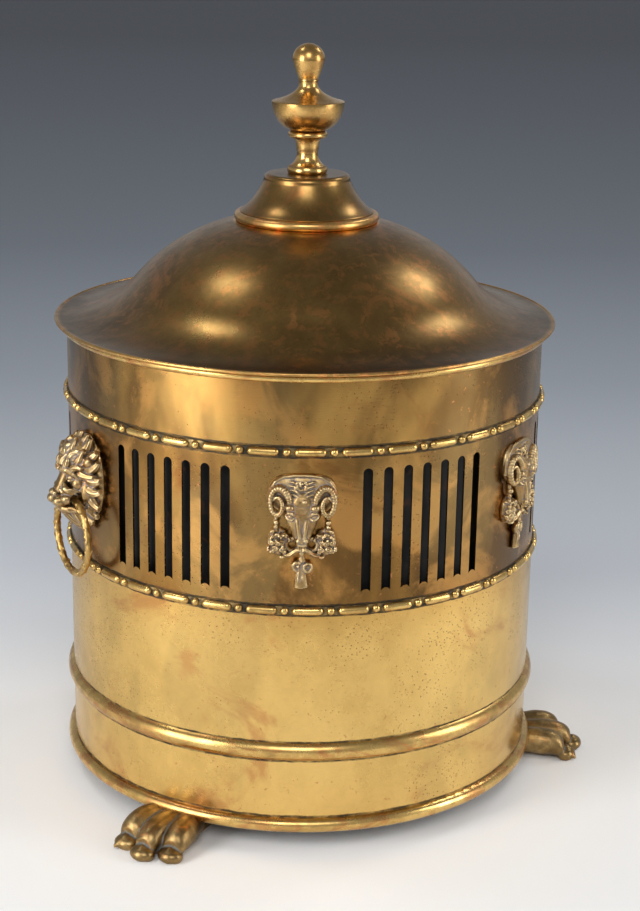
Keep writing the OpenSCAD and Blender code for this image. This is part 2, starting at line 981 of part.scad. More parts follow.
// The finial's outline from its foot to the knob, for a finial of full height
function finial_face() = concat(
  bend([12, 0], [13.4, 2.2], [12, 4.4], 6),
  [[11, 4.6]],
  bend([10.6, 5], [6, 8.4], [6.8, 14.4]),
  bend([7, 15], [7.3, 19.6], [8.7, 21.9], 6),
  arc([10.2, 24.3], 2.2, -90, 90, 10),
  bend([10.8, 26.8], [urn_r - 1.6, 30], [urn_r, 43.6], 12),
  [[urn_r, 44.6]],
  bend([urn_r - 0.6, 45], [urn_r * 0.4, 48], [6, 54]),
  [[6, 57.2], [6.5, 57.5], [6.5, 58.2], [6.2, 58.4]],
  bend([6.2, 58.6], [knob_r - 1.7, 63.6], [knob_r, full_knob])
);

// Turned finial: foot, waist, collar, urn, neck and pear-shaped knob
module finial() {
  knob_h = crown_top + finial_h - knob_z;
  face = [for (p = finial_face()) [p[0], crown_top + p[1] * stretch]];
  cap = [for (a = [9:9:90]) [knob_r * cos(a), knob_z + knob_h * sin(a)]];
  color(brass)
    rotate_extrude($fn = fine)
      polygon(concat(
        [[0, stud_end], [finial_stud_r, stud_end], [finial_stud_r, crown_top]],
        face, cap
      ));
}

module finial_washer() {
  color(brass)
    difference() {
      disc(washer_r, dome_under - washer_t, dome_under);
      disc(finial_hole_r, dome_under - 2 * washer_t, dome_top);
    }
}

module finial_nut() {
  color(brass)
    translate([0, 0, dome_under - washer_t - finial_nut_h])
      nut(finial_nut_flats / 2 / cos(30), finial_nut_h, finial_stud_r);
}

body_wall();
rim_roll();
base_roll();
waist_moulding();
upper_bead_strip();
lower_bead_strip();
floor_plate();
paw_foot_left();
paw_foot_right();
paw_foot_back();
foot_screws();
ram_mount_front_left();
ram_mount_front_right();
ram_mount_back_right();
ram_mount_back_left();
lion_mask_left();
lion_mask_right();
mount_nuts();
ring_left();
ring_right();
liner_wall();
liner_floor();
liner_rim();
handle_plate_left();
handle_plate_right();
plate_rivets();
liner_handle_left();
liner_handle_right();
lid_dome();
lid_collar();
lid_crown();
finial();
finial_washer();
finial_nut();
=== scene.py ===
"""Looks of a round brass coal scuttle: rolled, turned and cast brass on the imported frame."""

import math

import bpy
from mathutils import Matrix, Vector


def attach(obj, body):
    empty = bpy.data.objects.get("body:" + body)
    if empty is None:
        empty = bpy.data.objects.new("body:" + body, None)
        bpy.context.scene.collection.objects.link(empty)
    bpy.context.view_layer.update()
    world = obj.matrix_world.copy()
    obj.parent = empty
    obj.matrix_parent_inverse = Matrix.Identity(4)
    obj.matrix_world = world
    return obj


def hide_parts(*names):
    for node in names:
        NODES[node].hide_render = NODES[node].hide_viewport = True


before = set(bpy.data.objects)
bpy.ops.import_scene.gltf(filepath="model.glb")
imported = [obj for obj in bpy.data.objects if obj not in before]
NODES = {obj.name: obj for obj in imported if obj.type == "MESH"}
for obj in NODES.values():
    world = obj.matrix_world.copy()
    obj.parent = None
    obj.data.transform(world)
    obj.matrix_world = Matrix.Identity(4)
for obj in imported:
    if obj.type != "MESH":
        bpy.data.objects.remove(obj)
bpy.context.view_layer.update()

MM = 0.001

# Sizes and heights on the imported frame, in millimetres
DRUM_R = 152.5
BASE_ROLL_Z = 18.3
LOWER_STRIP_Z = 158.5
UPPER_STRIP_Z = 256.0
STRIP_AXIS_R = 153.15
RAM_Z = 208.45
LION_Z = 213.65
RING_Z = 203.65
RING_OUT = 12.0
RING_R = 24.3
RING_T = 2.8
LID_EDGE_R = 160.2
CROWN_TOP_Z = 394.05

# Turns round the axis, in degrees from the front towards the right
RAM_TURNS = {"front_left": -30, "front_right": 30, "back_right": 150, "back_left": -150}
LION_TURNS = {"left": -90, "right": 90}
PAW_TURNS = {"left": -60, "right": 60, "back": 180}

# Size of the finest detail that each casting holds
RAM_GRAIN = 0.32
LION_GRAIN = 0.36
RING_GRAIN = 0.32
PAW_GRAIN = 0.6


# ------------ at the bench

def only(*objs):
    """Selects these objects and makes the last one active."""
    bpy.ops.object.select_all(action="DESELECT")
    for obj in objs:
        obj.select_set(True)
    bpy.context.view_layer.objects.active = objs[-1]


def named(name):
    """Gives the object just made, and its mesh, their name."""
    obj = bpy.context.object
    obj.name = name
    obj.data.name = name
    return obj


def settle(obj):
    """Puts an object's place, turn and size into its mesh."""
    only(obj)
    bpy.ops.object.transform_apply(location=True, rotation=True, scale=True)
    return obj


def modify(obj, kind, **settings):
    """Works one modifier into an object's mesh."""
    only(obj)
    mod = obj.modifiers.new(kind.title(), kind)
    for key, value in settings.items():
        setattr(mod, key, value)
    bpy.ops.object.modifier_apply(modifier=mod.name)


def join(name, parts):
    only(*parts)
    bpy.ops.object.join()
    return settle(named(name))


def copy_of(obj, name):
    twin = obj.copy()
    twin.data = obj.data.copy()
    twin.name = twin.data.name = name
    bpy.context.scene.collection.objects.link(twin)
    return twin


def open_mesh(obj):
    """Opens an object's mesh with all of it selected."""
    only(obj)
    bpy.ops.object.mode_set(mode="EDIT")
    bpy.ops.mesh.select_all(action="SELECT")


def face_out(obj):
    """Closes doubled points and turns every face outwards."""
    open_mesh(obj)
    bpy.ops.mesh.remove_doubles(threshold=1e-6)
    bpy.ops.mesh.normals_make_consistent(inside=False)
    bpy.ops.object.mode_set(mode="OBJECT")


def smooth_by(obj, degrees):
    """Shades smoothly across edges flatter than this angle."""
    only(obj)
    bpy.ops.object.shade_smooth_by_angle(angle=math.radians(degrees))


def hang_on_wall(obj, z):
    """Takes a mount from its flat bench (x round, y up, z out) to the front of the drum."""
    obj.rotation_euler = (math.pi / 2, 0, 0)
    obj.location = (0, -DRUM_R * MM, z * MM)
    return settle(obj)


def turn_about_axis(obj, turn):
    """Takes an object from the front round to its place."""
    obj.rotation_euler = (0, 0, math.radians(turn))
    settle(obj)


def seat(obj, body, packed):
    """Says which body a piece rides on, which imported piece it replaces."""
    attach(obj, body)
    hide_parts(packed)


def copies_round(model, turns, name, packed, body="scuttle"):
    """A copy of a piece at each turn, on this body or, with none, each on its own."""
    copies = []
    for side, turn in turns.items():
        twin = copy_of(model, name + side)
        turn_about_axis(twin, turn)
        seat(twin, body or packed + side, packed + side)
        copies.append(twin)
    bpy.data.objects.remove(model)
    return copies


# ------------ turned work

def turned(name, outline, closed=True, sides=192):
    """A ring or bowl of metal: a circle drawn out and in along an outline of (radius, height).
    With closed off, it is a solid bar whose two ends are flat."""
    r, z = outline[0]
    ends = "NOTHING" if closed else "NGON"
    bpy.ops.mesh.primitive_circle_add(
        vertices=sides, radius=r * MM, location=(0, 0, z * MM), fill_type=ends,
    )
    obj = named(name)
    open_mesh(settle(obj))
    for r_next, z_next in outline[1:]:
        rise = (0, 0, (z_next - z) * MM)
        bpy.ops.mesh.extrude_region_move(TRANSFORM_OT_translate={"value": rise})
        ratio = r_next / r
        bpy.ops.transform.resize(value=(ratio, ratio, 1), center_override=(0, 0, z_next * MM))
        r, z = r_next, z_next
    if closed:
        first = outline[0]
        bpy.ops.object.mode_set(mode="OBJECT")
        for v in obj.data.vertices:
            level = abs(v.co.z - first[1] * MM) < 1e-7
            at_first = level and abs(v.co.xy.length - first[0] * MM) < 1e-6
            v.select = v.select or at_first
        bpy.ops.object.mode_set(mode="EDIT")
        bpy.ops.mesh.bridge_edge_loops()
    bpy.ops.object.mode_set(mode="OBJECT")
    face_out(obj)
    return obj


def arc(cx, cz, r, a, b, n):
    """Points of a round stretch of an outline, from angle a to angle b in degrees."""
    return [
        (cx + r * math.cos(math.radians(a + (b - a) * i / n)),
         cz + r * math.sin(math.radians(a + (b - a) * i / n)))
        for i in range(n + 1)
    ]


def bend(p, c, q, n):
    """Points of a curved stretch of an outline, from p to q and drawn towards c."""
    out = []
    for i in range(n + 1):
        t = i / n
        out.append(tuple(
            p[k] * (1 - t) ** 2 + c[k] * 2 * t * (1 - t) + q[k] * t ** 2 for k in (0, 1)
        ))
    return out


# ------------ cast work
# On a mount's bench x runs round the drum, y up it and z out of it. The paws are made in place.

def ball(at, size, tilt=(0, 0, 0), seg=20):
    """A rounded mass with three half-widths."""
    bpy.ops.mesh.primitive_uv_sphere_add(
        segments=seg, ring_count=seg // 2, radius=1,
        location=Vector(at) * MM, rotation=[math.radians(a) for a in tilt],
        scale=Vector(size) * MM,
    )
    return bpy.context.object


def hoop(at, major, minor, tilt=(0, 0, 0), squash=1.0):
    """A round loop of bar."""
    bpy.ops.mesh.primitive_torus_add(
        location=Vector(at) * MM, rotation=[math.radians(a) for a in tilt],
        major_radius=major * MM, minor_radius=minor * MM, major_segments=28, minor_segments=10,
    )
    bpy.context.object.scale = (1, squash, 1)
    return bpy.context.object


def lock(path, widths, sides=8, flat=1.0, grooves=0):
    """A strand drawn out along a path and turned only about z: hair, horn, ribbon or claw."""
    pts = [Vector(p) * MM for p in path]
    step = pts[1] - pts[0]
    heading = math.atan2(step.y, step.x)
    width = widths[0]
    bpy.ops.mesh.primitive_circle_add(
        vertices=sides, radius=width * MM, fill_type="NGON", location=pts[0],
        rotation=(math.pi / 2, 0, heading + math.pi / 2),
    )
    obj = bpy.context.object
    if grooves:
        for i, v in enumerate(obj.data.vertices):
            if i % 2:
                v.co *= 1 - grooves
    obj.scale = (1, flat, 1)
    open_mesh(settle(obj))
    for k in range(1, len(pts)):
        bpy.ops.mesh.extrude_region_move(TRANSFORM_OT_translate={"value": pts[k] - pts[k - 1]})
        step = pts[k + 1] - pts[k] if k + 1 < len(pts) else step
        ahead = math.atan2(step.y, step.x)
        swing = (ahead - heading + math.pi) % (2 * math.pi) - math.pi
        if abs(swing) > 1e-4:
            bpy.ops.transform.rotate(value=-swing, orient_axis="Z", center_override=pts[k])
        heading = ahead
        ratio = widths[k] / width
        bpy.ops.transform.resize(value=(ratio, ratio, ratio), center_override=pts[k])
        width = widths[k]
    bpy.ops.object.mode_set(mode="OBJECT")
    face_out(obj)
    return obj


def wave(start, heading, length, sway, z0, z1, n):
    """Points of a strand that leaves start at a heading in degrees and sways as an S."""
    x, y = start
    out = []
    for i in range(n + 1):
        t = i / n
        out.append((x, y, z0 + (z1 - z0) * t))
        a = math.radians(heading + sway * math.sin(2 * math.pi * t))
        x += math.cos(a) * length / n
        y += math.sin(a) * length / n
    return out


def taper(w, n, tip, belly=1.15):
    """Widths of a strand that swells a little and then runs out to a tip."""
    out = []
    for i in range(n + 1):
        t = i / n
        swell = 1 + (belly - 1) * math.sin(math.pi * min(1, t * 1.6))
        out.append(w * swell * (1 - (1 - tip) * t ** 2.2))
    return out


def curl(at, heading, length, turn, z0, z1, width):
    """One fat grooved lock of hair, bent as a C all along its length."""
    n = 8
    x, y = at
    path = []
    for i in range(n + 1):
        t = i / n
        path.append((x, y, z0 + (z1 - z0) * t ** 1.4))
        a = math.radians(heading + turn * t)
        x += math.cos(a) * length / n
        y += math.sin(a) * length / n
    return lock(path, taper(width, n, 0.62, 1.12), sides=14, flat=0.9, grooves=0.17)


def between(knots, t):
    """The point at the share t of the way from the second of four knots to the third."""
    return tuple(
        0.5 * (
            2 * a[1] + (a[2] - a[0]) * t + (2 * a[0] - 5 * a[1] + 4 * a[2] - a[3]) * t ** 2
            + (3 * a[1] - a[0] - 3 * a[2] + a[3]) * t ** 3
        )
        for a in zip(*knots)
    )


def smooth_path(knots, girths, steps):
    """More points and widths between a few knots, on an even curve through them."""
    path, widths = [], []
    last = len(knots) - 1
    for i in range(last):
        four = [knots[max(0, i - 1)], knots[i], knots[i + 1], knots[min(last, i + 2)]]
        for j in range(steps):
            t = j / steps
            path.append(between(four, t))
            widths.append(girths[i] * (1 - t) + girths[i + 1] * t)
    path.append(knots[-1])
    widths.append(girths[-1])
    return path, widths


def seed_place(k, count, core, reach, centre, squash, phase=0.0):
    """Place k of those that fill an oval as seeds fill a flower: x, y, turn and distance."""
    turn = 2.4 * k + phase
    out = core + reach * math.sqrt(k / count)
    x = centre[0] + squash[0] * out * math.cos(turn)
    y = centre[1] + squash[1] * out * math.sin(turn)
    return x, y, turn, out


def both_sides(parts):
    """The parts of the right side, with their mirror images on the left."""
    twins = []
    for part in parts:
        settle(part)
        twin = copy_of(part, part.name + "_twin")
        twin.scale = (-1, 1, 1)
        settle(twin)
        face_out(twin)
        twins.append(twin)
    return parts + twins


def cast(name, parts, grain, rounds):
    """Runs all the parts into one casting and softens it a little."""
    obj = join(name, parts)
    modify(obj, "REMESH", mode="VOXEL", voxel_size=grain * MM, use_smooth_shade=True)
    modify(obj, "SMOOTH", factor=0.5, iterations=rounds)
    return obj


def cut(obj, tool):
    """Takes the tool's shape out of obj."""
    modify(obj, "BOOLEAN", operation="DIFFERENCE", solver="EXACT", object=tool)
    bpy.data.objects.remove(tool)


def drum_behind(z):
    """The drum itself, as a tool that fits the back of a mount to it."""
    bpy.ops.mesh.primitive_cylinder_add(
        vertices=360, radius=(DRUM_R + 0.02) * MM, depth=2 * z * MM,
        location=(0, 0, -DRUM_R * MM), rotation=(math.pi / 2, 0, 0),
    )
    return settle(bpy.context.object)


def stud(y):
    """A plain stud on the back of a mount, which passes through the wall."""
    bpy.ops.mesh.primitive_cylinder_add(
        vertices=24, radius=1.6 * MM, depth=6.4 * MM, location=Vector((0, y, -0.7)) * MM,
    )
    obj = settle(bpy.context.object)
    modify(obj, "BEVEL", width=0.35 * MM, segments=2)
    return obj


def mark_recesses(obj, rounds=22, depth=0.3):
    """Notes, point by point, how deep a casting's surface lies below its surroundings."""
    soft = copy_of(obj, obj.name + "_soft")
    modify(soft, "SMOOTH", factor=0.5, iterations=rounds)
    note = obj.data.attributes.new("recess", "FLOAT", "POINT")
    values = []
    for v, s in zip(obj.data.vertices, soft.data.vertices):
        lift = (s.co - v.co).dot(v.normal)
        values.append(max(-1.0, min(1.0, lift / (depth * MM))))
    note.data.foreach_set("value", values)
    bpy.data.objects.remove(soft)


# ------------ ram mounts

def ram_cap():
    """The plate behind the horns: wide, flat-topped and round-shouldered, with a raised edge."""
    edge = [(20.0, 17.0), (19.9, 21.5), (18.6, 26.0), (15.6, 30.2), (11.0, 32.9), (5.6, 33.7), (0, 33.8)]
    edge += [(-x, y) for x, y in reversed(edge[:-1])]
    parts = [
        ball((0, 21.0, -0.4), (19.8, 13.0, 3.3), seg=32),
        lock([(x, y, 1.0) for x, y in edge], [0.9] * len(edge)),
    ]
    for x in (-9.6, 9.6):
        parts.append(ball((x, 23.4, -0.2), (10.6, 10.7, 3.2), seg=28))
    return parts


def ram_horn():
    """One ribbed horn: over the top, down the outside and in to its curled tip."""
    knots = [
        (7.2, 17.4, 4.0), (7.9, 21.4, 4.4), (9.8, 25.2, 4.2), (13.0, 27.2, 3.6), (16.4, 25.8, 3.0),
        (18.3, 21.8, 2.8), (18.4, 17.2, 2.9), (17.2, 13.0, 3.2), (14.9, 11.2, 3.8), (12.6, 12.6, 4.4),
        (11.6, 15.8, 4.6), (12.0, 19.2, 4.4), (13.6, 21.6, 4.0), (15.6, 21.2, 3.6), (16.9, 19.2, 3.3),
    ]
    girths = [1.7, 2.1, 2.35, 2.3, 2.05, 1.9, 1.85, 1.85, 1.8, 1.7, 1.6, 1.5, 1.35, 1.05, 0.5]
    path, widths = smooth_path(knots, girths, 10)
    ribs = [1.0, 1.0, 1.0, 0.84]
    return lock(path, [w * ribs[i % len(ribs)] for i, w in enumerate(widths)], sides=16)


def ram_fruit():
    """A dense cluster of curled leaves and small fruit at the end of the swag, on its cord."""
    centre, squash = (13.9, -6.5), (0.80, 1.18)
    leaves, fruits, slope = 20, 6, 0.26
    parts = [ball((13.9, -6.4, 0.2), (6.3, 8.8, 2.6), seg=24)]
    for k in range(leaves):
        x, y, turn, out = seed_place(k, leaves, 1.5, 6.2, centre, squash)
        lift = 3.9 - slope * out
        heading = math.degrees(turn) + 80 * (-1) ** k
        vein = wave((x, y), heading, 3.6, 60, lift - 0.9, lift + 0.7, 5)
        parts.append(lock(vein, taper(1.0, 5, 0.75, 1.3), flat=1.3))
    for k in range(fruits):
        x, y, turn, out = seed_place(k, fruits, 0.4, 5.2, centre, squash, 0.6)
        tilt = (25 * math.sin(turn), 25 * math.cos(turn), 0)
        parts.append(hoop((x, y, 4.3 - slope * out), 1.45, 0.62, tilt, 0.8))
        parts.append(ball((x, y, 4.5 - slope * out), (0.75, 0.65, 0.8), seg=10))
    parts.append(ball((15.1, 6.2, 2.2), (1.9, 1.8, 1.8), seg=14))
    parts.append(ball((15.1, 3.1, 1.9), (1.5, 1.6, 1.5), seg=12))
    parts.append(lock([(15.1, 10.0, 1.6), (15.1, 6.0, 1.6), (14.8, 0.0, 1.6)], [1.1, 1.2, 1.2]))
    return parts


def ram_face_side():
    """Half of the face, and the hair that parts to this side over the cap."""
    parts = [
        # boss of the brow and socket
        ball((7.4, 15.8, 4.4), (3.0, 2.6, 2.6), (0, 0, 18)),
        ball((6.9, 11.4, 3.2), (3.6, 3.9, 2.6), (0, 0, -16)),
        # lids and eyeball
        lock([(4.0, 10.4, 5.2), (5.5, 13.0, 6.4), (7.9, 13.3, 6.2), (9.8, 11.5, 4.6)],
             [0.8, 1.25, 1.25, 0.8]),
        lock([(4.0, 10.4, 5.2), (5.8, 8.9, 5.9), (8.1, 9.3, 5.5), (9.8, 11.5, 4.6)], [0.8, 1.0, 1.0, 0.8]),
        ball((6.8, 11.2, 5.6), (1.5, 1.2, 1.0), seg=12),
        # fold beside the eye, and cheek
        lock([(9.6, 14.4, 2.4), (10.4, 11.6, 1.8), (9.4, 8.0, 1.8)], [0.9, 1.4, 0.6]),
        ball((5.0, 5.6, 2.6), (3.2, 7.0, 2.8), (0, 0, -15)),
        # ridge of the nose, nostril and lip
        lock(
            [(3.2, 12.4, 4.6), (2.7, 8.0, 5.2), (2.1, 3.4, 5.7), (1.4, -2.2, 6.1)],
            [1.2, 1.7, 1.6, 1.3], sides=12,
        ),
        ball((2.1, -3.6, 6.0), (1.7, 1.9, 1.7), (0, 0, 28), 14),
        lock([(3.5, -1.8, 4.2), (3.1, -4.6, 5.0), (1.7, -6.4, 5.5), (0, -7.0, 5.6)], [0.9, 0.95, 0.9, 0.85]),
    ]
    for k in range(5):
        y = 19.6 + 2.3 * k
        parts.append(lock(
            [(1.0, y - 0.8, 4.9 - 0.55 * k), (3.2, y + 0.7, 4.5 - 0.5 * k), (6.0, y + 1.6, 3.7 - 0.4 * k),
             (8.6, y + 1.5, 3.1 - 0.3 * k)],
            [0.6, 0.78, 0.7, 0.3],
        ))
    return parts


def ram_face_middle():
    """The wedge of the face, its forehead, bridge of the nose, muzzle and a forelock."""
    return [
        ball((0, 18.2, 1.8), (8.0, 6.6, 4.2)),
        lock(
            [(0, 20.0, 1.2), (0, 12.0, 1.9), (0, 4.0, 2.6), (0, -2.6, 3.2), (0, -6.0, 3.6)],
            [8.6, 10.4, 8.2, 5.2, 3.2], sides=28, flat=0.46,
        ),
        ball((0, 13.6, 4.6), (4.2, 4.6, 1.7)),
        ball((0, 3.6, 5.0), (1.9, 8.6, 1.5)),
        ball((0, -3.4, 5.2), (2.4, 2.9, 1.9)),
        ball((1.2, 19.6, 5.4), (1.6, 1.5, 1.1), (0, 0, 30), 12),
    ]


def ram_topknot():
    """Small curls of hair at the top of the cap."""
    curls = 9
    parts = []
    for k in range(curls):
        x, y, turn, out = seed_place(k, curls, 0.5, 3.4, (-1.4, 27.6), (1.15, 0.95))
        strand = wave((x, y), math.degrees(turn) + 80, 3.2, 70, 2.9, 3.7 - 0.2 * out, 5)
        parts.append(lock(strand, taper(0.72, 5, 0.6)))
    return parts


def ram_swag_side():
    """Half of the ribbon: frame of the round hole, arm of the swag and the webs beside it."""
    return [
        hoop((5.7, -8.4, 1.0), 3.3, 1.3),
        lock(*smooth_path(
            [(0, -11.6, 2.7), (1.8, -10.4, 3.0), (4.2, -11.6, 2.8), (7.0, -13.8, 2.3), (10.6, -14.4, 1.8)],
            [1.3, 1.5, 1.5, 1.6, 1.2], 5,
        ), sides=12, grooves=0.22),
        lock([(4.4, -4.4, 1.6), (8.4, -3.4, 1.4), (12, -4.0, 1.4)], [1.4, 1.3, 1.3]),
        lock([(3.2, -5.2, 2.2), (2.0, -8.4, 2.2), (0.4, -10.6, 2.4)], [1.0, 1.2, 1.2]),
    ]


def ram_bow():
    """Knot, one open and one folded loop, and the hanging end of the ribbon."""
    return [
        # knot and the ribbon down from it
        ball((0, -12.4, 2.0), (2.1, 3.0, 1.9)),
        lock([(0, -12.0, 1.7), (0.1, -15.2, 1.7), (0.1, -18.0, 1.6)], [2.0, 1.8, 2.2],
             sides=14, grooves=0.14),
        ball((0, -20.6, 1.0), (3.0, 4.4, 1.6)),
        # open loop on the right
        hoop((3.6, -21.9, 2.2), 2.35, 0.95, (0, 12, 0), 1.08),
        ball((3.6, -21.9, 0.9), (2.6, 2.8, 1.0)),
        # folded loop on the left
        lock(*smooth_path(
            [(-0.6, -19.4, 2.4), (-3.0, -18.3, 2.9), (-4.9, -20.2, 2.6), (-4.4, -23.0, 2.0),
             (-2.0, -24.8, 1.6)],
            [1.0, 1.35, 1.4, 1.2, 0.8], 5,
        ), sides=12),
        ball((-3.1, -21.4, 1.4), (2.4, 2.6, 1.3)),
        ball((-2.2, -21.0, 2.8), (1.0, 1.2, 0.9), seg=10),
        # hanging end and its folds
        lock(
            [(-0.3, -22.4, 1.3), (-0.4, -26.2, 1.4), (-0.3, -30.4, 1.3), (-0.1, -34.6, 1.1)],
            [2.7, 3.1, 3.6, 4.2], sides=24, flat=0.46,
        ),
        lock([(1.0, -24.6, 2.2), (0.6, -28.0, 2.4), (1.6, -33.4, 2.0)], [0.7, 0.9, 0.6]),
        lock([(-1.6, -24.8, 2.2), (-1.9, -28.6, 2.4), (-2.6, -33.2, 2.0)], [0.7, 0.9, 0.6]),
    ]


def ram_mount():
    """The whole mount, with nostrils and the ribbon's fork cut, its back fitted to the drum."""
    parts = both_sides([ram_horn(), *ram_fruit(), *ram_face_side(), *ram_swag_side()])
    parts += ram_cap() + ram_bow() + ram_face_middle() + ram_topknot()
    ram = join("ram_mount", parts)
    ram.scale.z = 1.3
    ram = cast("ram_mount", [ram], RAM_GRAIN, 1)
    for x, tilt in ((-1.69, -40), (1.69, 40)):
        cut(ram, settle(ball((x, -4.4, 9.9), (0.5, 1.1, 1.0), (0, 0, tilt), 12)))
    bpy.ops.mesh.primitive_cube_add(
        size=4.6 * MM, location=Vector((-0.4, -35.8, 1)) * MM, rotation=(0, 0, math.radians(45)),
    )
    cut(ram, settle(bpy.context.object))
    cut(ram, drum_behind(RAM_Z))
    mark_recesses(ram)
    return join("ram_mount", [stud(19), stud(-13), ram])


rams = copies_round(hang_on_wall(ram_mount(), RAM_Z), RAM_TURNS, "ram_", "ram_mount_")


# ------------ lion masks and rings

def on_oval(a, y_mid, half_x, half_y):
    """A spot on an oval round the face, at angle a in degrees from the right."""
    return half_x * math.cos(math.radians(a)), y_mid + half_y * math.sin(math.radians(a))


def mane_locks():
    """Half of the mane, with the ear in it."""
    parts = []
    fringe = [
        (86, 3.0, 10.0), (68, 3.3, 10.5), (50, 3.4, 11.0), (32, 3.3, 10.5), (14, 3.2, 10.0), (-4, 3.1, 10.0),
        (-22, 3.0, 10.5), (-40, 2.9, 11.0), (-58, 2.7, 11.0),
    ]
    for k, (a, width, reach) in enumerate(fringe):
        at = on_oval(a, 1.0, 14.6, 21.6)
        z = 6.6 if a > -15 else 5.0
        parts.append(curl(at, a - 48, reach - 0.8, 100 if k % 2 else 62, z, 2.4, width + 0.3))
    middle_row = [(80, 14.5), (58, 13.5), (36, 12.0), (14, 10.5), (-8, 8.6), (-30, 7.2), (-52, 6.6)]
    for k, (a, z) in enumerate(middle_row):
        at = on_oval(a, 5.0, 9.8, 14.4)
        parts.append(curl(at, a - 40, 10.6, 40 if k % 2 else 104, z, z - 5.0, 2.8))
    forelocks = [
        (1.7, 12.8, 100, 18.4), (5.0, 12.2, 74, 17.6), (8.6, 10.4, 50, 15.2),
        (2.0, 19.4, 104, 16.4), (6.4, 18.2, 70, 15.0), (10.8, 15.6, 44, 12.6),
    ]
    for k, (x, y, heading, z) in enumerate(forelocks):
        parts.append(curl((x, y), heading, 8.4, 76 if k % 2 else -84, z, z - 3.2, 2.35))
    ear_rim = [(11.6, 14.4, 9.6), (14.4, 17.6, 9.6), (17.8, 17.8, 7.8), (18.4, 14.8, 6.4)]
    parts.append(ball((14.6, 15.6, 7.4), (4.6, 3.5, 3.2), (0, 0, 24)))
    parts.append(lock(ear_rim, [0.9, 1.2, 1.1, 0.7]))
    return parts


def lion_face_side():
    """Half of the face and beard."""
    return [
        # brow over the eye
        lock([(1.0, 9.4, 18.6), (3.6, 10.2, 18.8), (6.8, 9.6, 17.2), (9.6, 7.2, 14.2), (11.2, 4.0, 11.4)],
             [1.8, 2.3, 2.5, 2.2, 1.3], sides=12),
        # socket, eyeball and lids
        ball((6.2, 5.4, 14.6), (2.9, 2.2, 2.3)),
        ball((6.4, 5.2, 16.0), (1.5, 1.2, 1.2), seg=12),
        lock([(3.4, 6.2, 15.8), (6.0, 7.2, 16.8), (9.0, 5.6, 14.6)], [0.6, 0.85, 0.55]),
        lock([(3.6, 4.0, 16.4), (6.4, 3.2, 16.2), (9.2, 4.2, 14.0)], [0.7, 0.95, 0.55]),
        # cheekbone and the folds round the cheek
        ball((8.6, 1.4, 11.4), (4.4, 4.6, 4.2)),
        lock(*smooth_path(
            [(4.0, 0.8, 18.6), (6.4, -2.0, 18.6), (9.2, -3.6, 16.0), (11.6, -4.4, 12.0)],
            [1.2, 2.2, 2.7, 1.6], 4,
        ), sides=14),
        lock([(3.6, -2.4, 21.0), (5.4, -4.4, 20.0), (7.0, -6.0, 18.0)], [1.1, 1.5, 1.2], sides=12),
        # muzzle and nostril
        ball((4.0, -9.4, 21.2), (4.5, 3.9, 5.2), (0, 0, -16)),
        ball((7.0, -8.2, 17.6), (3.6, 3.4, 4.2), (0, 0, -20)),
        ball((2.5, -4.6, 24.0), (1.7, 1.6, 1.9), (0, 0, -18), 14),
        # cheek and jaw beside the mouth
        ball((11.4, -3.6, 6.4), (5.4, 7.6, 5.0)),
        ball((11.8, -13.0, 3.2), (4.6, 8.4, 3.4)),
        # lower lip and beard
        lock([(0, -15.6, 19.4), (3.4, -15.4, 18.4), (6.4, -15.6, 15.6), (8.6, -15.4, 11.6),
              (9.6, -14.8, 8.0)],
             [1.9, 2.0, 2.1, 1.9, 1.4], sides=12),
        curl((2.0, -17.6), -80, 10.6, 40, 15.4, 8.4, 2.5),
        curl((5.2, -17.0), -66, 10.6, -46, 12.8, 6.6, 2.5),
        curl((8.2, -16.4), -62, 10.4, 48, 8.6, 4.4, 2.5),
        curl((2.6, -24.0), -76, 8.2, -44, 8.2, 4.6, 2.2),
    ]


def lion_head_middle():
    """The masses on the middle line, from the plate to the middle of the beard."""
    return [
        # plate, crown and middle of the face
        ball((0, 2.0, -1.0), (19.6, 27.8, 6.6), seg=32),
        ball((0, 15.4, 6.4), (12.4, 12.6, 10.6), seg=28),
        ball((0, 4.0, 6.0), (12.2, 12.0, 10.4), seg=28),
        # brow and forehead
        ball((0, 8.6, 14.8), (5.6, 4.4, 3.8)),
        ball((0, 13.6, 13.4), (7.4, 4.6, 4.6)),
        # bridge, tip and divide of the nose
        lock([(0, 10.0, 14.6), (0, 4.6, 16.8), (0, 0, 19.0), (0, -4.6, 21.8)], [3.6, 4.2, 4.2, 4.0],
             sides=28, flat=0.78),
        ball((0, -4.2, 24.0), (3.3, 2.2, 2.7)),
        ball((0, -6.8, 22.6), (1.4, 2.2, 2.6)),
        # muzzle, chin, throat, plate and beard
        ball((0, -8.4, 16.8), (5.0, 4.6, 5.0)),
        ball((0, -16.8, 15.2), (5.4, 3.6, 4.8)),
        ball((0, -18.0, 8.0), (8.4, 6.4, 6.2)),
        ball((0, -10.0, 4.0), (9.4, 12.0, 5.6)),
        curl((0, -17.8), -90, 12.0, 20, 16.4, 7.0, 2.5),
        curl((0, -25.4), -90, 6.6, 20, 7.6, 4.4, 2.3),
    ]


def ring_way():
    """The waisted hollow that the ring turns in, across the mouth, as a tool."""
    inner = RING_R - RING_T
    play, half, reach = 0.6, 11.4, 13.2
    outline = []
    for k in range(13):
        x = half * (k / 6 - 1)
        outline.append((RING_R + play - math.sqrt(inner ** 2 - x ** 2), x))
    first, last = (outline[0][0], -reach), (outline[-1][0], reach)
    tool = turned("ring_way", [first, *outline, last], closed=False, sides=64)
    tool.rotation_euler = (0, math.pi / 2, 0)
    tool.location = Vector((0, RING_Z - LION_Z, RING_OUT)) * MM
    return settle(tool)


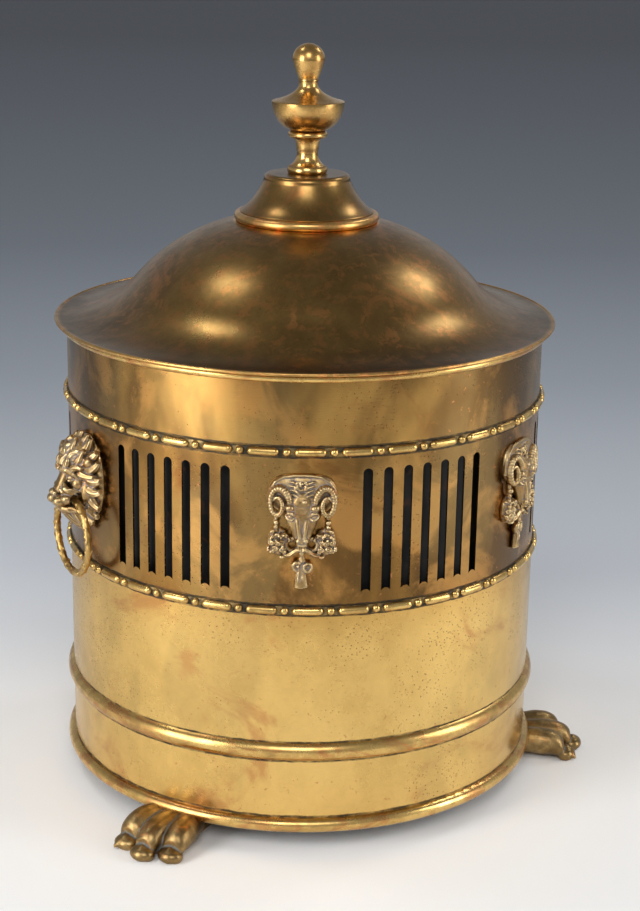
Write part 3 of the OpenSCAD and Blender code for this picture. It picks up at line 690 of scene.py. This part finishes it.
def lion_mask():
    """The whole mask, with mouth and nostrils cut, its back fitted to the drum."""
    parts = both_sides(mane_locks() + lion_face_side()) + lion_head_middle()
    lion = cast("lion_mask", parts, LION_GRAIN, 1)
    cut(lion, ring_way())
    for x, tilt in ((-1.5, 20), (1.5, -20)):
        cut(lion, settle(ball((x, -5.4, 26.4), (0.95, 0.75, 1.4), (0, 0, tilt), 12)))
    cut(lion, drum_behind(LION_Z))
    mark_recesses(lion)
    return join("lion_mask", [stud(17.74), stud(-20.87), lion])


lions = copies_round(hang_on_wall(lion_mask(), LION_Z), LION_TURNS, "lion_", "lion_mask_")


def drop_ring():
    """A round bar covered with small overlapping leaves, like bark, hung at the front."""
    leaves, bark = 132, 1.45
    bpy.ops.mesh.primitive_torus_add(
        major_radius=RING_R * MM, minor_radius=2.15 * MM, major_segments=120, minor_segments=16,
    )
    parts = [bpy.context.object]
    for k in range(leaves):
        a = math.radians(360 * k / leaves)
        b = math.radians(137.5 * k)
        r = RING_R + bark * math.cos(b)
        length = 2.5 + 0.7 * math.sin(3.1 * k)
        parts.append(ball(
            (r * math.cos(a), r * math.sin(a), bark * math.sin(b)), (1.0, length, 1.05),
            (24 * math.sin(1.7 * k), 0, math.degrees(a) + 20 * math.sin(2.3 * k)), 10,
        ))
    ring = cast("drop_ring", parts, RING_GRAIN, 1)
    mark_recesses(ring, 10, 0.2)
    ring.rotation_euler = (math.pi / 2, 0, 0)
    ring.location = Vector((0, -DRUM_R - RING_OUT, RING_Z - RING_R)) * MM
    return settle(ring)


rings = copies_round(drop_ring(), LION_TURNS, "drop_ring_", "ring_", None)


# ------------ paw feet

def paw_toe(x, y_tip, nail_lean):
    """One toe: a long rounded ridge, the pad under its end, and the nail with the fold round it."""
    heel_y, ridge_end = -148, 8.6
    ridge = [
        # share outwards, share sideways, height, half-width
        (0, 0.62, 9.4, 8.2), (0.25, 0.78, 10.8, 8.6), (0.5, 0.92, 11.2, 8.9), (0.75, 0.99, 10.4, 8.6),
        (0.92, 1.02, 8.6, 7.6), (1.0, 1.03, 6.8, 5.8),
    ]
    path, widths = [], []
    for out, aside, z, width in ridge:
        path.append((x * aside, heel_y + (y_tip + ridge_end - heel_y) * out, z))
        widths.append(width)
    tip_x = x * 1.04
    nail = [
        (tip_x, y_tip + 7.0, 6.0), (tip_x + nail_lean * 0.3, y_tip + 4.2, 5.3),
        (tip_x + nail_lean * 0.7, y_tip + 2.3, 3.8), (tip_x + nail_lean, y_tip + 0.9, 1.9),
    ]
    return [
        lock(*smooth_path(path, widths, 4), sides=24),
        ball((tip_x, y_tip + 6.7, 3.7), (8.0, 6.4, 4.7)),
        ball((tip_x - 4.2, y_tip + 7.4, 3.2), (3.9, 5.0, 4.0)),
        ball((tip_x + 4.2, y_tip + 7.4, 3.2), (3.9, 5.0, 4.0)),
        lock(*smooth_path(nail, [3.4, 3.0, 2.3, 1.0], 4), sides=16),
        hoop((tip_x, y_tip + 5.6, 5.2), 3.2, 0.75, (62, 0, 0)),
    ]


def fixing_lug():
    """The block behind the paw that stands under the floor plate, drilled for its screw."""
    bpy.ops.mesh.primitive_cube_add(
        size=1, location=Vector((0, -139.6, 11.4)) * MM, scale=Vector((26, 19.2, 22.8)) * MM,
    )
    lug = settle(bpy.context.object)
    modify(lug, "BEVEL", width=1.2 * MM, segments=3)
    bpy.ops.mesh.primitive_cylinder_add(
        vertices=32, radius=2.5 * MM, depth=16 * MM, location=Vector((0, -138, 17)) * MM,
    )
    cut(lug, settle(bpy.context.object))
    return lug


def paw_foot():
    """Three toes and the instep, flat on the floor and fitted round the base roll and the wall."""
    parts = paw_toe(0, -195.4, 0) + paw_toe(15.4, -189.0, 1.0) + paw_toe(-15.4, -189.0, -5.5)
    parts += [
        ball((0, -156, 7.4), (16, 17, 9.8)),
        ball((0, -150, 9.4), (14.0, 12, 9.6)),
        ball((0, -168, 4.2), (18, 15, 7.0)),
    ]
    foot = cast("paw_foot", parts, PAW_GRAIN, 2)
    open_mesh(foot)
    bpy.ops.mesh.bisect(
        plane_co=(0, 0, 0), plane_no=(0, 0, 1), use_fill=True, clear_inner=True, threshold=1e-7,
    )
    bpy.ops.object.mode_set(mode="OBJECT")
    roll_fit_r, wall_fit_r, wall_fit_h = 4.55, DRUM_R - 0.2, 40
    bpy.ops.mesh.primitive_torus_add(
        major_radius=DRUM_R * MM, minor_radius=roll_fit_r * MM, location=(0, 0, BASE_ROLL_Z * MM),
        major_segments=360, minor_segments=32,
    )
    cut(foot, settle(bpy.context.object))
    bpy.ops.mesh.primitive_cylinder_add(
        vertices=360, radius=wall_fit_r * MM, depth=wall_fit_h * MM,
        location=(0, 0, (BASE_ROLL_Z + wall_fit_h / 2) * MM),
    )
    cut(foot, settle(bpy.context.object))
    mark_recesses(foot, 24, 0.8)
    return join("paw_foot", [fixing_lug(), foot])


paws = copies_round(paw_foot(), PAW_TURNS, "paw_", "paw_foot_")


# ------------ bead strips

def strip_band(name, z):
    """The flat band under the beads, with its two edges taken off."""
    back, shoulder, face = 152.56, 152.95, STRIP_AXIS_R
    half, land = 2.7, 2.5
    return turned(name, [
        (back, z - half), (shoulder, z - half), (face, z - land),
        (face, z + land), (shoulder, z + half), (back, z + half),
    ])


def strip_reel(z):
    """One long round-ended reel, bent to the drum."""
    length, reel_r, steps = 18.8, 2.5, 16
    span = length / STRIP_AXIS_R
    path, widths = [], []
    for i in range(steps + 1):
        t = i / steps
        a = (t - 0.5) * span
        path.append((STRIP_AXIS_R * math.sin(a), -STRIP_AXIS_R * math.cos(a), z))
        near_end = min(t, 1 - t) * length
        widths.append(reel_r * math.sqrt(max(0.06, 1 - max(0, 1 - near_end / reel_r) ** 2)))
    return lock(path, widths, sides=14)


def bead_strip(name, z, first_turn):
    """A narrow band with a bead and a reel in turn, all the way round."""
    pairs = 35
    parts = [strip_band(name, z)]
    reel = strip_reel(z)
    bead = settle(ball((0, -STRIP_AXIS_R, z), (2.5, 2.5, 2.5), seg=16))
    step = 360 / pairs
    for k in range(pairs):
        for part, turn in ((bead, first_turn + k * step), (reel, first_turn + (k + 0.5) * step)):
            twin = copy_of(part, part.name + "_round")
            turn_about_axis(twin, turn)
            parts.append(twin)
    bpy.data.objects.remove(bead)
    bpy.data.objects.remove(reel)
    strip = join(name, parts)
    smooth_by(strip, 50)
    seat(strip, "scuttle", name)
    return strip


strips = [
    bead_strip("upper_bead_strip", UPPER_STRIP_Z, -2.7),
    bead_strip("lower_bead_strip", LOWER_STRIP_Z, -2.8),
]


# ------------ lid, crown and finial

def sheet_lid():
    """One sheet spun from the flat flange, up the hollow sweep and over the dome."""
    hole_r, top_z, sheet = 3.2, 364.3, 1.2
    dome, dome_r = (21.5, 250.5), 116
    flare, flare_r = (156.1, 363.9), 60
    # angles off upright where the dome begins, and where it turns into the flare
    start, join_at = 11.18, 49.88
    top = arc(*dome, dome_r, 90 - start, 90 - join_at, 44)
    top += arc(*flare, flare_r, 270 - join_at, 270, 40)[1:]
    hem = arc(159.0, 303.3, 1.1, 146.9, -146.9, 16)
    under = arc(*flare, flare_r + sheet, 270, 270 - join_at, 40)
    under += arc(*dome, dome_r - sheet, 90 - join_at, 90 - start, 44)[1:]
    outline = [(hole_r, top_z), *top, *hem, *under, (hole_r, top_z - sheet)]
    lid = turned("lid_dome_sheet", outline, sides=256)
    smooth_by(lid, 40)
    return lid


def spun_crown():
    """The tall cone over the hole, standing on a fat rolled foot that rests on the dome."""
    hole_r, under_z = 3.2, 392.85
    outer = arc(42.9, 366.9, 3.1, -52, 96, 18) + [(42.1, 369.9), (42.2, 370.4)]
    outer += bend((42.0, 370.7), (33.0, 376.4), (27.3, 390.2), 26) + arc(24.1, 390.85, 3.2, 0, 90, 12)
    inner = [(hole_r, CROWN_TOP_Z), (hole_r, under_z)] + arc(24.0, 390.85, 2.0, 90, 0, 12)
    inner += bend((26.0, 390.2), (31.9, 375.9), (40.8, 369.4), 26) + [(40.6, 366.0)]
    crown = turned("lid_crown_cone", outer + inner, sides=160)
    smooth_by(crown, 40)
    return crown


def finial_face():
    """The finial's outline over the crown: (radius, height above the crown's top)."""
    # foot and waist
    face = bend((12, 0), (13.4, 2.2), (12, 4.4), 8) + [(11, 4.6)]
    face += bend((10.6, 5), (6, 8.4), (6.8, 14.4), 14) + bend((7, 15), (7.3, 19.6), (8.7, 21.9), 10)
    # collar and urn
    face += arc(10.2, 24.3, 2.2, -90, 90, 14)
    face += bend((10.8, 26.8), (21.2, 30), (22.8, 43.6), 22) + [(22.8, 44.6)]
    # shoulder and neck
    face += bend((22.2, 45), (9.1, 48), (6, 54), 16)
    face += [(6, 57.2), (6.5, 57.5), (6.5, 58.2), (6.2, 58.4)]
    # pear-shaped knob, rounded over its top
    face += bend((6.2, 58.6), (8.5, 63.6), (10.2, 70.2), 16)
    for k in range(1, 16):
        a = math.radians(5.6 * k)
        face.append((10.2 * math.cos(a), 70.2 + 10 * math.sin(a)))
    return face


def turned_finial():
    """Foot, waist, collar, urn, neck and pear-shaped knob from one bar, on its stud."""
    stud_r, stud_end_z, stud_top_z, height = 3, 355.1, 394.0, 80.2
    outline = [(stud_r, stud_end_z), (stud_r, stud_top_z)]
    outline += [(r, CROWN_TOP_Z + h) for r, h in finial_face()] + [(0.4, CROWN_TOP_Z + height)]
    finial = turned("finial_turned", outline, closed=False, sides=96)
    smooth_by(finial, 32)
    return finial


lid = sheet_lid()
crown = spun_crown()
finial = turned_finial()
seat(lid, "lid", "lid_dome")
seat(crown, "lid", "lid_crown")
seat(finial, "lid", "finial")


# ------------ finishes

def new_finish(name):
    """A fresh material and its nodes."""
    mat = bpy.data.materials.new(name)
    mat.use_nodes = True
    return mat, mat.node_tree


def put(tree, source, socket):
    """Wires a socket to another, or writes a plain value or a colour on it."""
    if isinstance(source, bpy.types.NodeSocket):
        tree.links.new(source, socket)
    elif isinstance(source, tuple):
        socket.default_value = (*source, 1)
    else:
        socket.default_value = source


def node(tree, kind, **inputs):
    made = tree.nodes.new("ShaderNode" + kind)
    for key, value in inputs.items():
        put(tree, value, made.inputs[key])
    return made


def place(tree):
    """A point's place on the object, in metres."""
    return node(tree, "TexCoord").outputs["Object"]


def stretched(tree, vector, scale):
    """The same place, measured finer or coarser along each axis."""
    made = node(tree, "Mapping", Vector=vector)
    made.inputs["Scale"].default_value = scale
    return made.outputs["Vector"]


def cloud(tree, vector, scale, detail=4.0, rough=0.6, warp=0.0):
    """Cloudy unevenness, from 0 to 1."""
    made = node(
        tree, "TexNoise", Vector=vector, Scale=scale, Detail=detail, Roughness=rough, Distortion=warp,
    )
    return made.outputs["Fac"]


def tones(tree, fac, stops):
    """Colours, or grey levels, along a scale from 0 to 1."""
    made = node(tree, "ValToRGB", Fac=fac)
    band = made.color_ramp
    while len(band.elements) < len(stops):
        band.elements.new(0.5)
    for element, (at, colour) in zip(band.elements, stops):
        element.position = at
        rgb = colour if isinstance(colour, tuple) else (colour,) * 3
        element.color = (*rgb, 1)
    return made.outputs["Color"]


def blend(tree, fac, a, b, how="MIX"):
    """Colour a with the share fac of colour b laid over it."""
    made = tree.nodes.new("ShaderNodeMix")
    made.data_type = "RGBA"
    made.blend_type = how
    put(tree, fac, made.inputs[0])
    put(tree, a, made.inputs[6])
    put(tree, b, made.inputs[7])
    return made.outputs[2]


def sums(tree, how, a, b=0.0):
    """One step of reckoning on one or two values."""
    made = tree.nodes.new("ShaderNodeMath")
    made.operation = how
    put(tree, a, made.inputs[0])
    put(tree, b, made.inputs[1])
    return made.outputs[0]


def times(tree, a, b):
    return sums(tree, "MULTIPLY", a, b)


def plus(tree, a, b):
    return sums(tree, "ADD", a, b)


def grade(tree, value, a, b, c=0.0, d=1.0):
    """Carries value from the range a to b over to the range c to d, softly."""
    made = node(tree, "MapRange", Value=value)
    made.interpolation_type = "SMOOTHSTEP"
    for key, number in (("From Min", a), ("From Max", b), ("To Min", c), ("To Max", d)):
        made.inputs[key].default_value = number
    return made.outputs["Result"]


def dent(tree, height, distance, strength=1.0, under=None):
    """Relief of this height, over the relief under it if there is one."""
    made = node(tree, "Bump", Height=height, Distance=distance, Strength=strength)
    if under is not None:
        tree.links.new(under, made.inputs["Normal"])
    return made.outputs["Normal"]


def surface(mat, colour, metal, rough, relief=None):
    """Puts a finish's colour, metal, roughness and relief on its surface."""
    tree = mat.node_tree
    bsdf = tree.nodes["Principled BSDF"]
    put(tree, colour, bsdf.inputs["Base Color"])
    put(tree, metal, bsdf.inputs["Metallic"])
    put(tree, rough, bsdf.inputs["Roughness"])
    if relief is not None:
        put(tree, relief, bsdf.inputs["Normal"])
    return mat


def from_axis(tree, spot):
    """A point's distance from the scuttle's axis, in metres."""
    xyz = node(tree, "SeparateXYZ", Vector=spot)
    squares = [sums(tree, "POWER", xyz.outputs[side], 2.0) for side in ("X", "Y")]
    return sums(tree, "SQRT", plus(tree, *squares))


def grime_lines(tree, z, seams, core):
    """Dark lines round the body at seams of (height, half-width), fully dark over the share core."""
    dark = None
    for height, half in seams:
        gap = sums(tree, "ABSOLUTE", sums(tree, "SUBTRACT", z, height * MM))
        line = grade(tree, gap, half * MM, half * core * MM)
        dark = line if dark is None else sums(tree, "MAXIMUM", dark, line)
    return dark


BRIGHT = (0.86, 0.585, 0.20)
GOLD = (0.66, 0.425, 0.14)
OLIVE = (0.34, 0.215, 0.072)
BROWN = (0.16, 0.085, 0.030)
COPPER = (0.52, 0.215, 0.075)
PATINA = (0.050, 0.042, 0.030)
ASH = (0.235, 0.19, 0.165)


def brass_ground(tree, low, mid, high, coarse, fine):
    """Uneven tarnish: broad clouds, smaller blotches and a few coppery patches."""
    spot = place(tree)
    broad = cloud(tree, spot, coarse, 6, 0.62, 0.6)
    small = cloud(tree, spot, fine, 8, 0.68, 0.3)
    worn = plus(tree, times(tree, broad, 0.62), times(tree, small, 0.38))
    ground = tones(tree, worn, [(0.34, low), (0.5, mid), (0.66, high)])
    patches = grade(tree, cloud(tree, spot, coarse * 2.3, 5, 0.6, 1.2), 0.56, 0.70, 0, 0.6)
    return spot, worn, blend(tree, patches, ground, COPPER)


def pits(tree, spot, scale, reach, amount):
    """Small dark specks, thicker in some places than in others."""
    dots = node(tree, "TexVoronoi", Vector=spot, Scale=scale).outputs["Distance"]
    where = grade(tree, cloud(tree, spot, 22), 0.45, 0.62)
    dot = grade(tree, dots, reach, reach * 0.35)
    return times(tree, times(tree, dot, where), amount)


def scratches(tree, spot):
    """Faint polishing marks round the body."""
    return cloud(tree, stretched(tree, spot, (90, 90, 1500)), 1.0, 3, 0.5)


def wall_tarnish_and_painted_shade(tree, z):
    """The wall's tone by height: bright below, dark tarnish on the slotted band, and painted shade, milder,
    on the band above it up to the top.
    """
    shaded_height = 0.31
    return tones(tree, sums(tree, "DIVIDE", z, shaded_height), [
        (0.0, (0.95, 0.93, 0.90)), (0.24, (1.0, 1.0, 1.0)), (0.44, (0.98, 0.95, 0.92)),
        (0.508, (0.86, 0.78, 0.70)), (0.516, (0.40, 0.32, 0.26)), (0.66, (0.37, 0.29, 0.235)),
        (0.81, (0.40, 0.32, 0.26)), (0.835, (0.64, 0.55, 0.47)), (0.93, (0.74, 0.64, 0.54)),
        (1.0, (0.58, 0.48, 0.40)),
    ])


def upper_tarnish(tree, spot, z, ground):
    """Murky brown, glowing copper and dull patches on the wall above the lower strip."""
    upper = grade(tree, z, (LOWER_STRIP_Z - 2) * MM, LOWER_STRIP_Z * MM)
    murk = cloud(tree, stretched(tree, spot, (1, 1, 0.45)), 9, 4, 0.55, 0.8)
    murk = times(tree, upper, grade(tree, murk, 0.36, 0.54, 0, 0.88))
    ground = blend(tree, murk, ground, (0.115, 0.062, 0.023))
    glow = cloud(tree, spot, 19, 5, 0.6, 0.6)
    glow = times(tree, upper, grade(tree, glow, 0.47, 0.62, 0, 0.65))
    ground = blend(tree, glow, ground, (0.60, 0.30, 0.085))
    dull = cloud(tree, stretched(tree, spot, (1, 1, 0.5)), 13, 4, 0.55, 0.5)
    dull = times(tree, grade(tree, dull, 0.50, 0.62), 0.30)
    return blend(tree, dull, ground, (0.40, 0.27, 0.10))


def drum_brass():
    """The rolled wall: bright gold below, brown and copper above with painted shade on the band under the
    rim, grime along every moulding.
    """
    mat, tree = new_finish("drum_brass")
    spot, worn, ground = brass_ground(tree, (0.62, 0.40, 0.125), (0.76, 0.50, 0.165), BRIGHT, 7, 60)
    z = node(tree, "SeparateXYZ", Vector=spot).outputs["Z"]
    wobble = sums(tree, "SUBTRACT", cloud(tree, spot, 110), 0.5)
    z = plus(tree, z, times(tree, wobble, 0.0016))
    # tarnish on the slotted band and painted shade on the band under the rim, multiplied into the brass
    ground = blend(tree, 1.0, ground, wall_tarnish_and_painted_shade(tree, z), "MULTIPLY")
    ground = upper_tarnish(tree, spot, z, ground)
    seams = [
        (23.6, 1.3), (60.9, 1.2), (72.9, 1.2), (155.2, 0.95), (161.8, 0.95), (252.7, 0.95), (259.3, 0.95),
        (298.4, 1.2),
    ]
    dark = grime_lines(tree, z, seams, 0.35)
    dark = times(tree, dark, grade(tree, cloud(tree, spot, 90, 5, 0.65), 0.30, 0.58, 0.35, 0.95))
    ground = blend(tree, dark, ground, PATINA)
    specks = pits(tree, spot, 430, 0.30, 0.62)
    ground = blend(tree, specks, ground, BROWN)
    rusty = times(tree, grade(tree, cloud(tree, spot, 330), 0.64, 0.70), 0.65)
    ground = blend(tree, rusty, ground, COPPER)
    rough = grade(tree, worn, 0.35, 0.65, 0.30, 0.20)
    rough = plus(tree, rough, times(tree, sums(tree, "MAXIMUM", dark, specks), 0.3))
    waves = dent(tree, cloud(tree, stretched(tree, spot, (1, 1, 0.4)), 10, 2, 0.4), 0.0016, 0.5)
    marks = dent(tree, scratches(tree, spot), 0.00005, 0.25, waves)
    return surface(mat, ground, 1.0, rough, dent(tree, specks, -0.00010, 0.6, marks))


def moulding_brass():
    """Rolls and mouldings: mottled gold and olive, with copper showing through."""
    mat, tree = new_finish("moulding_brass")
    spot, worn, ground = brass_ground(tree, OLIVE, GOLD, BRIGHT, 24, 120)
    copper = cloud(tree, stretched(tree, spot, (1, 1, 3)), 34, 5, 0.6, 1.5)
    ground = blend(tree, grade(tree, copper, 0.48, 0.62, 0, 0.6), ground, COPPER)
    relief = dent(tree, cloud(tree, spot, 260), 0.00008, 0.4)
    return surface(mat, ground, 1.0, grade(tree, worn, 0.35, 0.65, 0.34, 0.22), relief)


def bead_brass():
    """Beads and reels: bright on top, dark where they meet the band."""
    mat, tree = new_finish("bead_brass")
    spot, worn, ground = brass_ground(tree, OLIVE, GOLD, BRIGHT, 40, 220)
    foot = grade(tree, from_axis(tree, spot), (STRIP_AXIS_R + 0.75) * MM, (STRIP_AXIS_R - 0.05) * MM)
    foot = times(tree, foot, grade(tree, cloud(tree, spot, 140), 0.3, 0.6, 0.55, 1.0))
    rough = plus(tree, grade(tree, worn, 0.35, 0.65, 0.34, 0.22), times(tree, foot, 0.3))
    return surface(mat, blend(tree, foot, ground, PATINA), 1.0, rough)


def lid_brass():
    """Dome and crown: brown with orange blotches, a painted highlight on the crown's rolled foot, and
    brighter at the lid's edge.
    """
    mat, tree = new_finish("lid_brass")
    spot, worn, ground = brass_ground(
        tree, (0.13, 0.070, 0.024), (0.245, 0.142, 0.045), (0.37, 0.225, 0.072), 9, 70,
    )
    out = from_axis(tree, spot)
    warm = grade(tree, cloud(tree, spot, 120, 8, 0.75, 0.4), 0.50, 0.60, 0, 0.7)
    ground = blend(tree, warm, ground, (0.42, 0.19, 0.06))
    # tone by distance from the axis: darker round the finial's foot and on the flange, a painted highlight
    # on the crown's rolled foot, and brighter at the lid's edge
    tone_and_painted_highlight_by_radius = tones(tree, sums(tree, "DIVIDE", out, LID_EDGE_R * MM), [
        (0.0, 0.5), (0.13, 0.6), (0.165, 0.9), (0.262, 0.85), (0.267, 2.1), (0.287, 2.1), (0.293, 0.95),
        (0.80, 0.9), (0.90, 0.66), (0.975, 0.55), (0.985, 1.3), (1.0, 2.0),
    ])
    ground = blend(tree, 1.0, ground, tone_and_painted_highlight_by_radius, "MULTIPLY")
    ground = blend(tree, pits(tree, spot, 300, 0.30, 0.5), ground, BROWN)
    rough = grade(tree, worn, 0.35, 0.65, 0.36, 0.27)
    waves = dent(tree, cloud(tree, spot, 16, 2, 0.4), 0.001, 0.3)
    relief = dent(tree, cloud(tree, spot, 420), 0.00005, 0.4, waves)
    return surface(mat, ground, 1.0, rough, relief)


def finial_brass():
    """Turned and polished brass with tool marks round it and grime in its grooves."""
    mat, tree = new_finish("finial_brass")
    spot, worn, ground = brass_ground(
        tree, (0.34, 0.19, 0.062), (0.55, 0.325, 0.105), (0.74, 0.48, 0.17), 45, 200,
    )
    z = node(tree, "SeparateXYZ", Vector=spot).outputs["Z"]
    grooves = [(398.6, 1.2), (408.6, 2.6), (415.9, 1.0), (420.9, 1.0), (450.6, 1.6), (452.6, 0.9)]
    dark = grime_lines(tree, z, grooves, 0.0)
    dark = times(tree, dark, grade(tree, cloud(tree, spot, 180, 5, 0.6), 0.3, 0.6, 0.2, 0.75))
    rough = plus(tree, grade(tree, worn, 0.35, 0.65, 0.33, 0.2), times(tree, dark, 0.25))
    rings_round = cloud(tree, stretched(tree, spot, (30, 30, 2600)), 1.0, 2, 0.5)
    relief = dent(tree, rings_round, 0.00004, 0.35)
    return surface(mat, blend(tree, dark, ground, BROWN), 1.0, rough, relief)


def cast_finish(name, low, mid, high, grime, dust, coarse, fine, grain):
    """Castings: rubbed bright with a painted highlight on what stands out, dark in the hollows and dusty in
    the deepest.
    """
    mat, tree = new_finish(name)
    spot, worn, ground = brass_ground(tree, low, mid, high, coarse, fine)
    recess = node(tree, "Attribute")
    recess.attribute_name = "recess"
    uneven = times(tree, sums(tree, "SUBTRACT", worn, 0.5), 0.6)
    depth = plus(tree, recess.outputs["Fac"], uneven)
    hollow = grade(tree, depth, -0.02, 0.26)
    # what stands out takes the high colour: rubbed wear and a painted highlight
    rubbed_crest_and_painted_highlight = grade(tree, depth, -0.12, -0.60, 0, 0.75)
    ground = blend(tree, rubbed_crest_and_painted_highlight, ground, high)
    ground = blend(tree, hollow, ground, grime)
    dusty = grade(tree, cloud(tree, spot, 120), 0.42, 0.56)
    deep = times(tree, grade(tree, depth, 0.45, 0.85), dusty)
    metal = grade(tree, hollow, 0.0, 1.0, 1.0, 0.45)
    rough = grade(tree, depth, -0.35, 0.4, 0.30, 0.66)
    relief = dent(tree, cloud(tree, spot, grain, 5, 0.7), 0.00012, 0.5)
    return surface(mat, blend(tree, deep, ground, dust), metal, rough, relief)


def sooty_iron():
    """Black sheet iron with ash grey in places and a trace of rust."""
    mat, tree = new_finish("sooty_iron")
    spot = place(tree)
    ash = grade(tree, cloud(tree, spot, 30, 6, 0.65, 0.4), 0.42, 0.68)
    ground = blend(tree, ash, (0.007, 0.0065, 0.006), (0.028, 0.026, 0.024))
    rust = grade(tree, cloud(tree, spot, 75, 5, 0.6), 0.60, 0.70, 0, 0.5)
    ground = blend(tree, rust, ground, (0.075, 0.030, 0.014))
    tree.nodes["Principled BSDF"].inputs["Specular IOR Level"].default_value = 0.22
    rough = grade(tree, ash, 0.0, 1.0, 0.55, 0.8)
    return surface(mat, ground, 0.0, rough, dent(tree, cloud(tree, spot, 500), 0.0001, 0.5))


def screw_steel():
    """Dull steel of the screws."""
    mat, tree = new_finish("screw_steel")
    dull = cloud(tree, place(tree), 160, 5, 0.6)
    ground = tones(tree, dull, [(0.35, (0.10, 0.09, 0.08)), (0.65, (0.30, 0.29, 0.27))])
    return surface(mat, ground, 1.0, grade(tree, dull, 0.35, 0.65, 0.6, 0.38))


def dress(mat, *pieces):
    """Gives each piece, packed or made here, this finish alone."""
    for piece in pieces:
        obj = NODES[piece] if isinstance(piece, str) else piece
        obj.data.materials.clear()
        obj.data.materials.append(mat)


dress(drum_brass(), "body_wall")
dress(moulding_brass(), "rim_roll", "base_roll", "waist_moulding")
dress(bead_brass(), *strips)
dress(lid_brass(), "lid_collar", lid, crown)
dress(finial_brass(), "mount_nuts", "finial_washer", "finial_nut", finial)
dress(cast_finish(
    "mount_casting", (0.20, 0.125, 0.052), (0.37, 0.24, 0.10), (0.78, 0.61, 0.34),
    ASH, (0.46, 0.46, 0.43), 60, 260, 900,
), *rams, *lions)
dress(cast_finish(
    "ring_casting", (0.26, 0.16, 0.055), (0.46, 0.29, 0.095), (0.72, 0.50, 0.19),
    (0.16, 0.10, 0.05), ASH, 50, 240, 900,
), *rings)
dress(cast_finish(
    "paw_bronze", (0.14, 0.085, 0.034), (0.27, 0.175, 0.07), (0.58, 0.40, 0.17),
    (0.13, 0.125, 0.11), (0.26, 0.275, 0.25), 45, 200, 700,
), *paws)
dress(
    sooty_iron(), "liner_wall", "liner_floor", "liner_rim", "handle_plate_left", "handle_plate_right",
    "plate_rivets", "liner_handle_left", "liner_handle_right", "floor_plate",
)
dress(screw_steel(), "foot_screws")


# ------------ studio

def studio_floor():
    """The paper underneath, with a painted pool of light: white round the scuttle, greyed by painted shade
    further back and, less, towards the camera.
    """
    bpy.ops.object.select_all(action="DESELECT")
    bpy.ops.mesh.primitive_plane_add(size=60)
    floor = named("studio_floor")
    mat, tree = new_finish("studio_paper")
    turned_spot = node(tree, "Mapping", Vector=place(tree))
    turned_spot.inputs["Rotation"].default_value = (0, 0, math.radians(30))
    back = node(tree, "SeparateXYZ", Vector=turned_spot.outputs["Vector"]).outputs["Y"]
    # painted pool of light on the paper, with painted shade greying it further off
    paper_painted_light = tones(tree, sums(tree, "DIVIDE", plus(tree, back, 2.0), 10.0), [
        (0.0, 0.30), (0.09, 0.62), (0.12, (0.97, 0.97, 0.96)), (0.205, 0.97),
        (0.235, (0.66, 0.69, 0.735)), (0.30, (0.42, 0.455, 0.505)), (0.385, (0.28, 0.31, 0.355)),
        (0.82, (0.15, 0.16, 0.185)), (1.0, (0.14, 0.15, 0.175)),
    ])
    dress(surface(mat, paper_painted_light, 0.0, 0.7), floor)


def soft_box(name, at, aim, size, power):
    """A flat lamp that the camera doesn't see."""
    bpy.ops.object.light_add(type="AREA", location=at)
    lamp = bpy.context.object
    lamp.name = lamp.data.name = name
    lamp.data.shape = "RECTANGLE"
    lamp.data.size, lamp.data.size_y = size
    lamp.data.energy = power
    lamp.visible_camera = False
    lamp.rotation_euler = (Vector(aim) - Vector(at)).to_track_quat("-Z", "Y").to_euler()


studio_floor()
soft_box("low_left_box", (-1.35, -0.22, 0.52), (0, 0, 0.16), (0.55, 1.0), 13)
soft_box("low_right_box", (0.92, -0.98, 0.52), (0, 0, 0.16), (0.4, 0.9), 7)
soft_box("high_back_box", (-0.72, 0.72, 2.1), (0, 0, 0.3), (0.34, 0.34), 3.6)
soft_box("high_right_box", (1.5, 0.1, 1.7), (0, 0, 0.3), (0.38, 0.38), 4.2)
soft_box("front_fill", (-1.6, -2.6, 2.6), (0, 0, 0.1), (1.6, 1.6), 46)

world = bpy.context.scene.world or bpy.data.worlds.new("studio")
bpy.context.scene.world = world
world.use_nodes = True
sky_tree = world.node_tree
sky = sky_tree.nodes["Background"]
around = node(sky_tree, "TexCoord").outputs["Generated"]
height = node(sky_tree, "SeparateXYZ", Vector=around).outputs["Z"]
put(sky_tree, tones(sky_tree, height, [
    (0.0, (0.66, 0.68, 0.71)), (0.25, (0.55, 0.57, 0.60)), (0.6, (0.34, 0.35, 0.37)),
    (1.0, (0.26, 0.27, 0.28)),
]), sky.inputs["Color"])
sky.inputs["Strength"].default_value = 0.75

lens = bpy.data.cameras.new("front_left_view")
lens.lens = 74.16
lens.sensor_width = 36
camera = bpy.data.objects.new("front_left_view", lens)
camera.location = (-0.591883, -1.025171, 0.567498)
camera.rotation_euler = [math.radians(a) for a in (73.101117, -0.942941, -30.252128)]
bpy.context.scene.collection.objects.link(camera)
bpy.context.scene.camera = camera
bpy.context.scene.view_settings.view_transform = "Standard"
